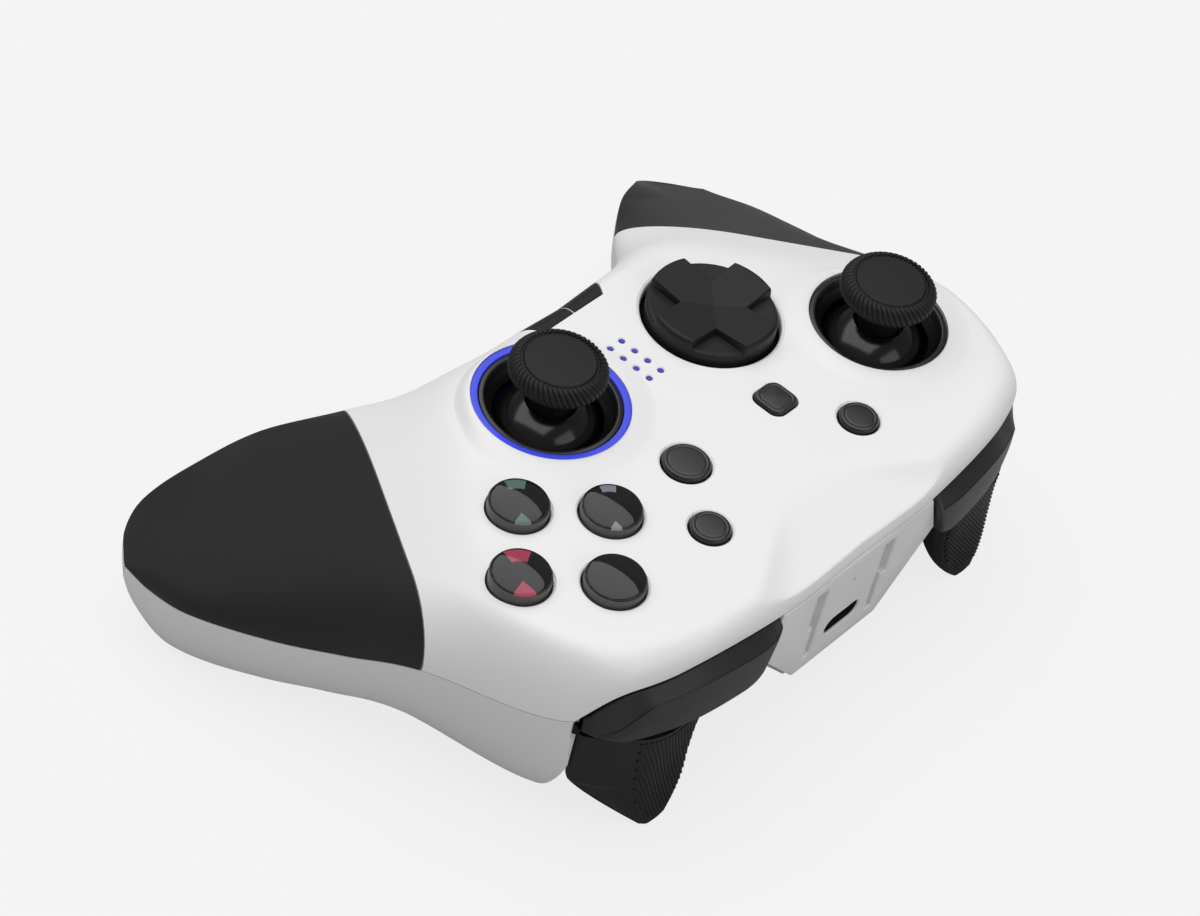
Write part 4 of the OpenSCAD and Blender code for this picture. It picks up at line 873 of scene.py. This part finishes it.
def bumperRow(t):
    # t runs from the panel to the outer end
    b, c = bumper, bottomCover
    x = b["from"] + (b["to"] - b["from"]) * t
    s = edgeStation(x)
    edge, before, after = outerEdge(np.array([s, s - 0.01, s + 0.01]))
    direction = (after - before)[:2]
    direction /= np.linalg.norm(direction)
    outward = np.array([-direction[1], direction[0]])
    top = edge[2] - b["belowEdge"] - b["cornerClear"] * t ** 4
    over = x - c["kneeX"] - b["kneeGap"]
    if over < 0:
        low = c["kneeZ"] + over * (c["kneeZ"] - c["rimZ"]) / (c["kneeX"] - c["panelHalf"])
    else:
        low = c["kneeZ"] - (b["depth"] + c["kneeZ"]) * float(edgeRise(np.array(over / b["deepWithin"])))
        low += b["endLift"] * late(t, b["endFrom"], 1.5)
    low = min(low, top - b["least"])
    height = top - low
    drop = min(b["creaseDrop"], 0.55 * height)
    drop += (0.9 * height - drop) * float(smoothStep((t - b["creaseFall"][0]) / b["creaseFall"][1]))
    out = b["outStart"] + (b["out"] - b["outStart"]) * float(edgeRise(np.array(t / b["outWithin"])))
    out *= 1 - b["endThin"] * t ** 5
    skin = b["skin"] * (1 - b["endThin"] * t ** 6)
    deep = min(1.2, height * 0.35)
    groove = b["creaseGroove"] * min(1, t / 0.05, (1 - t) / 0.1)
    half = min(b["creaseHalf"], 0.05 * height)
    crease = top - drop
    shape = [(-skin, top), (-0.1, top), (out - half, crease + half), (out - groove, crease),
             (out + 0.02, crease - half), (out + 0.2, (crease - half) * 0.45 + low * 0.55),
             (out + 0.1, low + 0.05 * height), (out - 0.3, low), (out - skin, low),
             (out - skin, low + 0.6 * height), (-skin, top - deep)]
    e, i, k = b["edgeRound"], b["innerRound"], b["creaseRound"]
    shape = filleted(shape, [i, e, k, k, k, 4.0, e, e, i, 0.3, i])
    return np.column_stack([edge[:2] + outward * shape[:, :1], shape[:, 1]])


def makeBumpers():
    count = bumper["rows"]
    rows = np.array([bumperRow((i / count) ** bumper["crowd"]) for i in range(count + 1)])
    for name, sign in sides.items():
        skin = loft(name + "Bumper", handed(rows, sign))
        settle(skin, name + "_bumper", [name + "_bumper"], satinBlackAbs, 32)


makeBumpers()
print("bumpers made")


# Triggers: curved blades with fine ribs on the finger face
trigger = {
    "inner": 34.4, "outer": 56.6, "depth": 40.2, "top": -17.6, "rows": 80, "shoulderY": 43.0,
    "pinY": 43.2, "pinZ": -15.4, "hub": 3.2, "hubEnd": 49.0,
    "faceSet": 0.9, "faceDip": 3.2, "faceRise": 4.1, "faceEdge": 44.8, "edgeOut": 5.0, "edgeBack": 4.8,
    "backSet": 1.2, "backSweep": 11.6, "outSet": 0.5, "outSweep": 10.6, "innerSweep": 6.5, "outerSweep": 10.2,
    "tipFrom": 0.92, "tipShrink": 0.55,
    "ribPitch": 0.8, "ribRadius": 0.3, "ribSink": 0.08, "ribCount": 26, "ribPoints": 24,
    "ribLean": {"left": -0.85, "right": 0.38}, "ribFrom": -18.6, "ribTo": -38.6, "ribEdge": 49.4,
    "ribIn": 1.3, "ribSweep": 4.6,
}


def bladeRow(q, shrink=1.0):
    # q runs from the top of the blade to its tip
    t = trigger
    z = t["top"] - (t["depth"] + t["top"]) * q
    frontLine = layout["frontY"] - t["faceSet"] - t["faceDip"] * q + t["faceRise"] * q * q
    backIn = t["pinY"] - t["backSet"] + t["backSweep"] * q ** 1.15
    backOut = t["pinY"] - t["outSet"] + t["outSweep"] * late(q, 0.45, 1.2)
    inner = t["inner"] + t["innerSweep"] * q ** 5
    outer = t["outer"] - t["outerSweep"] * late(q, 0.5, 1.2)
    turnX = t["faceEdge"] + t["edgeOut"] * q - t["edgeBack"] * q ** 6
    outY = max(backOut + 0.4, t["shoulderY"] + 1.6)
    r = min(2.4, (frontLine - backIn) * 0.45)
    centre = np.array([(inner + outer) / 2, (frontLine + max(backIn, backOut)) / 2])
    shape = [
        (inner, backIn), (outer - 0.6, backOut), (outer, backOut + 0.4), (outer - 0.2, outY),
        (turnX + (outer - turnX) * 0.62, outY + (frontLine - outY) * 0.55),
        (turnX + (outer - turnX) * 0.25, outY + (frontLine - outY) * 0.9),
        (turnX, frontLine), (turnX - 2.2, frontLine + 0.15), (inner + r, frontLine),
        (inner + 0.3 * r, frontLine - 0.3 * r), (inner, frontLine - r)]
    shape = filleted(shape, [0.4, 0.2, 0.2, 0.6, 9, 9, 9, 9, 1.2, 1.2, 1.2], 6)
    return atHeight(centre + (shape - centre) * shrink, z)


def bladeRows():
    count, last = trigger["rows"], trigger["tipFrom"]
    rows = [bladeRow(math.sin(math.pi / 2 * i / count * last)) for i in range(count + 1)]
    last = math.sin(math.pi / 2 * last)
    for c, s in arc(1.0, 0, math.pi / 2, 9)[1:]:
        rows.append(bladeRow(last + (1 - last) * s, 1 - trigger["tipShrink"] * (1 - c)))
    return np.array(rows)


def frontOfBlade(x, z):
    # y of the finger face at a height, from the outline's forward half
    q = (trigger["top"] - z) / (trigger["depth"] + trigger["top"])
    row = bladeRow(min(max(q, 0), 0.995))
    corner = len(row) // 11  # about a corner of the outline; the first three lie at the back
    face = row[3 * corner:][::-1]
    order = np.argsort(face[:, 0])
    return float(np.interp(x, face[order, 0], face[order, 1]))


def ribPaths(name, sign):
    # Lines down the finger face, kept inside its edges
    t, paths = trigger, []
    heights = np.linspace(t["ribFrom"], t["ribTo"], 240)
    q = np.clip((t["top"] - heights) / (t["depth"] + t["top"]), 0, 1)
    low = t["inner"] + t["ribIn"] + t["innerSweep"] * q ** 5
    high = t["ribEdge"] - t["ribSweep"] * q ** 5
    for k in range(-t["ribCount"], 2 * t["ribCount"]):
        x = t["inner"] + 1.4 + k * t["ribPitch"] - t["ribLean"][name] * (t["ribFrom"] - heights)
        inside = np.where((x > low) & (x < high))[0]
        if len(inside) < t["ribPoints"]:
            continue
        pick = inside[np.linspace(0, len(inside) - 1, t["ribPoints"]).astype(int)]
        path = [(x[i], frontOfBlade(x[i], heights[i]) - t["ribSink"], heights[i]) for i in pick]
        paths.append(handed(path, sign))
    return paths


def makeTriggers():
    t, rows = trigger, bladeRows()
    hub = circle(t["hub"], 48) + (t["pinY"], t["pinZ"])
    webY = (t["pinY"] - 1.5, t["pinY"] + t["hub"] - 0.3)
    thin = np.interp(np.linspace(0, 1, t["ribPoints"]), [0, 0.06, 0.94, 1], [0.2, 1, 1, 0.2])
    for name, sign in sides.items():
        blade = loft(name + "Trigger", handed(rows, sign))
        rings = [np.column_stack([np.full(len(hub), sign * x), hub]) for x in (t["inner"] + 0.2, t["hubEnd"])]
        combine(blade, loft("hub", rings), "UNION")
        web = box("hubWeb", (t["inner"] + 0.6, t["hubEnd"] - 0.4), webY, (t["top"] - 2, t["pinZ"]), sign)
        combine(blade, web, "UNION")
        settle(blade, name + "_trigger", [name + "_trigger"], mattBlackAbs, 35)
        ribs = tubes(name + "TriggerRibs", ribPaths(name, sign), t["ribRadius"], mattBlackAbs, thin=thin)
        settle(ribs, name + "_trigger", [], None, 60)


makeTriggers()
print("triggers made")


# Thumb sticks: rubber caps with a ridged rim, polished domes, ring inserts
stick = {
    "capTop": 10.1, "capRadius": 8.65, "neck": 3.7, "ringOut": 12.5, "ringHole": 9.65, "domeRadius": 10.4,
    "domeWall": 0.9, "domeHole": 4.6, "domeSkirt": 2.2, "lightOut": 13.75,
    "ridges": 52, "ridgeLean": 15.0, "ridgeRadius": 0.52, "ridgePoints": 14,
}


def capProfile():
    # Flat disc, a groove round it, the rim under the ridges, the hollow below it and the neck
    r, z, n = stick["capRadius"] - 0.3, stick["capTop"], stick["neck"]
    corners = [(0, z - 0.1), (r - 2.25, z - 0.1), (r - 2.0, z - 0.45), (r - 1.75, z - 0.5),
               (r - 1.2, z - 0.35), (r - 0.3, z - 1.0), (r, z - 1.9), (r, z - 2.7), (r - 0.6, z - 3.7),
               (n + 1.3, z - 5), (n, z - 6.9), (n, -1.4), (0, -1.4)]
    radii = [0, 0.15, 0.15, 0.15, 0.5, 0.7, 0.5, 0.5, 0.6, 1.5, 0.8, 0.1, 0]
    return filleted(corners, radii, closed=False)


def ridgePath():
    # Over the rim from the groove to the underside, turning as it goes
    r, z = stick["capRadius"] - stick["ridgeRadius"], stick["capTop"] - stick["ridgeRadius"]
    rim = filleted([(r - 1.35, z - 0.06), (r - 0.7, z - 0.16), (r, z - 1.1), (r, z - 2.1),
                    (r - 0.6, z - 3.0)], [0, 0.9, 0.9, 0.8, 0], 6, closed=False)
    lengths = np.concatenate([[0], np.cumsum(np.linalg.norm(np.diff(rim, axis=0), axis=1))])
    u = np.linspace(0, lengths[-1], stick["ridgePoints"])
    radius, height = np.interp(u, lengths, rim[:, 0]), np.interp(u, lengths, rim[:, 1])
    angle = np.radians(stick["ridgeLean"]) * (u / lengths[-1] - 0.5)
    return np.column_stack([radius * np.cos(angle), radius * np.sin(angle), height])


def domeArc(radius):
    # From the skirt up to the hole round the neck
    return arc(radius, math.asin(stick["domeSkirt"] / radius), math.acos(stick["domeHole"] / radius), 24)


def makeSticks():
    k = stick
    thin = np.interp(np.linspace(0, 1, k["ridgePoints"]), [0, 0.15, 0.85, 1], [0.55, 1, 1, 0.4])
    dome = np.concatenate([domeArc(k["domeRadius"]), domeArc(k["domeRadius"] - k["domeWall"])[::-1]])
    dome += (0, -layout["tiltDepth"])
    h, r = k["ringHole"], k["ringOut"]
    ring = filleted([(h, -4.4), (h, -2.8), (h + 1.2, -1), (r - 1, 0.3), (r - 0.2, 0.2), (r, -0.1), (r, -4.2),
                     (h + 1.2, -4.2)], [0.1, 0.5, 1.2, 0.4, 0.2, 0.1, 0.1, 0.1])
    for name in sides:
        place, rider = layout[name + "Stick"], name + "_stick"
        cap = lathe(name + "ThumbCap", capProfile(), place)
        settle(cap, rider, [rider + "_cap"], blackRubber, 50)
        rope = tubes(name + "CapRidges", [ridgePath()], k["ridgeRadius"], blackRubber, k["ridges"],
                     (*place, 0.0), thin=thin)
        settle(rope, rider, [], None, 60)
        settle(lathe(name + "Dome", dome, place), rider, [rider + "_dome"], glossBlackAbs, 40)
        insert = lathe(name + "RingInsert", ring, place)
        settle(insert, "case", [rider + "_ring"], ringAbs, 40)
    inner, outer, low, top = r + 0.05, k["lightOut"], -3.1, 0.33
    light = filleted([(inner, low), (outer, low), (outer, top), (inner, top)], 0.12)
    guide = lathe("rightLightRing", light, layout["rightStick"])
    settle(guide, "case", ["right_light_ring"], blueGuide, 40)


makeSticks()
print("thumb sticks made")


# Direction pad: dished disc with a raised cross, rounded as moulded
pad = {
    "radius": 11.8, "top": 1.6, "dish": 0.7, "armWidth": 8.6, "armLow": 2.2, "armHigh": 3.4,
    "armEnd": 1.2, "wallSoft": 0.38, "edgeRound": 0.75, "eye": 0.08, "rings": 96, "spokes": 512,
}


def padHeight(x, y):
    p = pad
    r = np.hypot(x, y)
    disc = p["top"] - p["dish"] * (1 - r / (p["radius"] - 0.7))
    reach = p["radius"] - p["armEnd"]
    height = disc
    for u, v in ((x, y), (y, x)):
        ridge = p["armLow"] + (p["armHigh"] - p["armLow"]) * np.minimum(np.abs(u) / reach, 1)
        inside = smoothStep((p["armWidth"] / 2 + p["wallSoft"] / 2 - np.abs(v)) / p["wallSoft"])
        height = np.maximum(height, disc + (ridge - disc) * inside)
    return height


def makePad():
    p, edge, fillet = pad, pad["radius"], pad["edgeRound"]
    radii = np.concatenate([np.linspace(p["eye"], edge - fillet, p["rings"]),
                            edge - fillet * (1 - np.sin(np.linspace(0, math.pi / 2, 8)[1:]))])
    spokes = circle(1.0, p["spokes"])
    x, y = (radii[:, None] * spokes[:, i] for i in (0, 1))
    z = padHeight(x, y)
    fall = np.maximum(0, radii - (edge - fillet))[:, None]
    rounding = fillet - np.sqrt(np.maximum(0, fillet ** 2 - fall ** 2))
    z = z - rounding * np.where(z > p["top"] + 0.3, 1.6, 1.0)  # the arms' ends fall further
    under = [(edge, 0.2), (edge, -3.6), (edge + 1, -4.0), (edge + 1, -5.0), (3.0, -2.9), (p["eye"], -2.9)]
    rows = [*np.stack([x, y, z], -1), *(atHeight(r * spokes, height) for r, height in under)]
    disc = loft("directionPad", np.array(rows) + (*layout["pad"], 0))
    settle(disc, "direction_pad", ["direction_pad"], mattBlackAbs, 55)


makePad()
print("direction pad made")


# Face buttons: grey walls, smoked lenses, and a coloured wedge mark under each lens
faceButton = {
    "radius": 5.25, "wallTop": 1.4, "rim": 0.2, "floor": 1.0, "flange": -4.7, "flangeHeight": 1.1,
    "flangeOut": 0.9, "lensRadius": 5.0, "lensEdge": 1.7, "crown": 0.6, "lensFoot": 0.008,
    "marks": {"east": ("#FF5F86", 1.0), "south": ("#8FB0A3", 0.8), "west": ("#C6CAD8", 0.6)},  # colour, size
    "markToward": (-0.628, -0.778), "markHalf": 0.48, "markHeight": 0.03, "markEdge": (0.97, 0.96),
    "printPlay": 0.03, "printFoot": 0.002, "inkGloss": {"Specular IOR Level": 0.16},
}


def printedMark(name, place, colour, size):
    # Screen-printed ink on the floor under the lens: a band by one edge and a wedge by the other
    b = faceButton
    toward = math.atan2(b["markToward"][1], b["markToward"][0])
    r, half = b["lensRadius"], b["markHalf"] * size
    bandEdge, wedgeEdge = b["markEdge"]
    band = np.concatenate([arc(r * bandEdge, -half, half, 9),
                           arc(r * (bandEdge - 0.5 * size), half * 1.15, -half * 1.15, 9)])
    wedge = np.concatenate([arc(-r * wedgeEdge, -half * 0.9, half * 0.9, 9),
                            [(-r * (wedgeEdge - 0.6 * size), 0.0)]])
    turned = np.array([[math.cos(toward), math.sin(toward)], [-math.sin(toward), math.cos(toward)]])
    plates = [prism(name, shape @ turned + place, b["floor"], b["floor"] + b["markHeight"])
              for shape in (band, wedge)]
    mark = joined(name + "PrintedMark", plates)
    ink = plainFinish(name + "PrintedInk", colour, 0.5, extra=b["inkGloss"])
    settle(mark, name, [], ink, 30)


def makeFaceButtons():
    b = faceButton
    # Screen print on the back of the lens: hides the grey floor, with little gloss under the lens
    blackInk = plainFinish("blackPrintedInk", "#0C0C0C", 0.5, extra=b["inkGloss"])
    r, top, floor, low = b["radius"], b["wallTop"], b["floor"], b["flange"]
    wide, ledge, foot = r + b["flangeOut"], low + b["flangeHeight"], floor + b["lensFoot"]
    wall = filleted([(0, floor), (r - b["rim"], floor), (r - b["rim"], top), (r, top - 0.1), (r, ledge),
                     (wide, ledge), (wide, low), (0, low)],
                    [0, 0.02, 0.05, 0.12, 0.1, 0.1, 0.1, 0], 4, closed=False)
    crown = arc(1.0, math.pi / 2, 0, 20) * (b["lensRadius"], b["crown"]) + (0, b["lensEdge"])
    lensShape = [*crown, (b["lensRadius"], foot), (0, foot)]
    disc = circle(r - b["rim"] - b["printPlay"], 96)
    for i, name in enumerate(("east", "west", "north", "south")):
        place = clusterPlace(i)
        settle(lathe(name + "ButtonWall", wall, place, 96), name, [name + "_button"], greyAbs, 40)
        settle(lathe(name + "Lens", lensShape, place, 96), name, [name + "_lens"], smokeLens, 40)
        ground = prism(name + "UnderPrint", disc + place, floor + b["printFoot"], floor + b["markHeight"] / 2)
        settle(ground, name, [], blackInk, 30)
        if name in b["marks"]:
            printedMark(name, place, *b["marks"][name])


makeFaceButtons()
print("face buttons made")


# Small buttons: a rounded edge, a fine groove and a slightly domed middle
smallButton = {
    "rise": 0.8, "flange": -4.7, "radius": {"home": 4.2, "plus": 3.5, "minus": 3.5},
    "captureHalf": 3.2, "captureRound": 1.8, "eye": 0.06,
}


def smallProfile(radius):
    h, low = smallButton["rise"], smallButton["flange"]
    corners = [(0, h + 0.05), (radius - 1.2, h - 0.02), (radius - 0.9, h - 0.1), (radius - 0.6, h),
               (radius - 0.2, h - 0.12), (radius, h - 0.5), (radius, low), (0, low)]
    return filleted(corners, [0, 0.6, 0.15, 0.15, 0.2, 0.3, 0.1, 0], 4, closed=False)


def makeSmallButtons():
    b = smallButton
    for name, radius in b["radius"].items():
        button = lathe(name + "Button", smallProfile(radius), layout[name], 96)
        settle(button, name, [name + "_button"], buttonAbs, 40)
    half, rings = b["captureHalf"], []
    for radius, height in smallProfile(half)[::-1]:
        corner = max(0.05, b["captureRound"] - 0.7 * (half - radius))
        radius = max(radius, b["eye"])
        outline = roundedSquare(radius, min(corner, 0.98 * radius))
        rings.append(atHeight(outline + layout["capture"], height))
    settle(loft("captureButton", rings), "capture", ["capture_button"], buttonAbs, 40)


makeSmallButtons()
print("small buttons made")


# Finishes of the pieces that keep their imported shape
insideFinish = {
    "steel": drawnSteel, "socket_metal": drawnSteel, "board": boardMask, "battery_wrap": cellFilm,
    "weight_metal": sinteredMetal, "magnet": sinteredMetal, "light_guide": blueDots, "black_abs": satinBlackAbs,
}
for part in frame["record"]["subparts"]:
    packed = nodes[part["node"]]
    if packed.hide_render:
        continue
    packed.data.materials.clear()
    finish = insideFinish.get(part["material_slot"], satinBlackAbs)
    if part["node"].endswith("trigger_pin"):  # the ends of these pins show beside the triggers
        finish = blackenedSteel
    packed.data.materials.append(finish)
print("inside pieces finished")


# Plain pale floor and soft studio light
studio = {
    "floorHalf": 3.0, "floorColour": "#C4C4C4", "shadowKept": 0.2,
    "skyStrength": 0.22, "aim": (0, 0, 0.03),
    "lamps": [  # place in metres, size in metres, watts
        ((0.0, -0.2, 1.3), 2.0, 20.6),
        ((0.0, 1.2, 0.5), 0.9, 2.6),
    ],
}


def paleFloor():
    # Lit paper, lifted towards white for the camera alone, so that the shadow stays faint
    material, tree = newMaterial("paleStudioPaper")
    paper = addNode(tree, "ShaderNodeBsdfDiffuse", None, {"Color": linear(studio["floorColour"])})
    glow = addNode(tree, "ShaderNodeEmission", None, {"Color": (1, 1, 1, 1), "Strength": 1.0})
    ray = addNode(tree, "ShaderNodeLightPath")
    seen = addNode(tree, "ShaderNodeMath", {"operation": "MAXIMUM"}, {
        0: ray.outputs["Is Camera Ray"], 1: ray.outputs["Is Transmission Ray"]})
    share = addNode(tree, "ShaderNodeMath", {"operation": "MULTIPLY"}, {
        0: seen.outputs[0], 1: 1 - studio["shadowKept"]})
    mixed = addNode(tree, "ShaderNodeMixShader", None, {
        0: share.outputs[0], 1: paper.outputs[0], 2: glow.outputs[0]})
    addNode(tree, "ShaderNodeOutputMaterial", None, {"Surface": mixed.outputs[0]})
    return material


def makeStudio():
    half = studio["floorHalf"]
    mesh = bpy.data.meshes.new("floor")
    corners = [(-half, -half, 0), (half, -half, 0), (half, half, 0), (-half, half, 0)]
    mesh.from_pydata(corners, [], [(0, 1, 2, 3)])
    floor = newPiece("floor", mesh)
    mesh.materials.append(paleFloor())
    world = bpy.data.worlds.new("studioSky")
    bpy.context.scene.world = world
    world.use_nodes = True
    tree = world.node_tree
    tree.nodes.clear()
    ray = addNode(tree, "ShaderNodeLightPath")
    strength = addNode(tree, "ShaderNodeMapRange", None, {
        "Value": ray.outputs["Is Camera Ray"], "To Min": studio["skyStrength"], "To Max": 1.0})
    sky = addNode(tree, "ShaderNodeBackground", None, {
        "Color": (1, 1, 1, 1), "Strength": strength.outputs["Result"]})
    addNode(tree, "ShaderNodeOutputWorld", None, {"Surface": sky.outputs[0]})
    for i, (place, size, watts) in enumerate(studio["lamps"]):
        lamp = bpy.data.lights.new(f"softBox{i + 1}", "AREA")
        lamp.shape = "SQUARE"
        lamp.size = size
        lamp.energy = watts
        softBox = newPiece(lamp.name, lamp)
        softBox.location = place
        towards = Vector(studio["aim"]) - Vector(place)
        softBox.rotation_euler = towards.to_track_quat("-Z", "Y").to_euler()
    bpy.context.scene.view_settings.view_transform = "Standard"


makeStudio()
print("studio made")
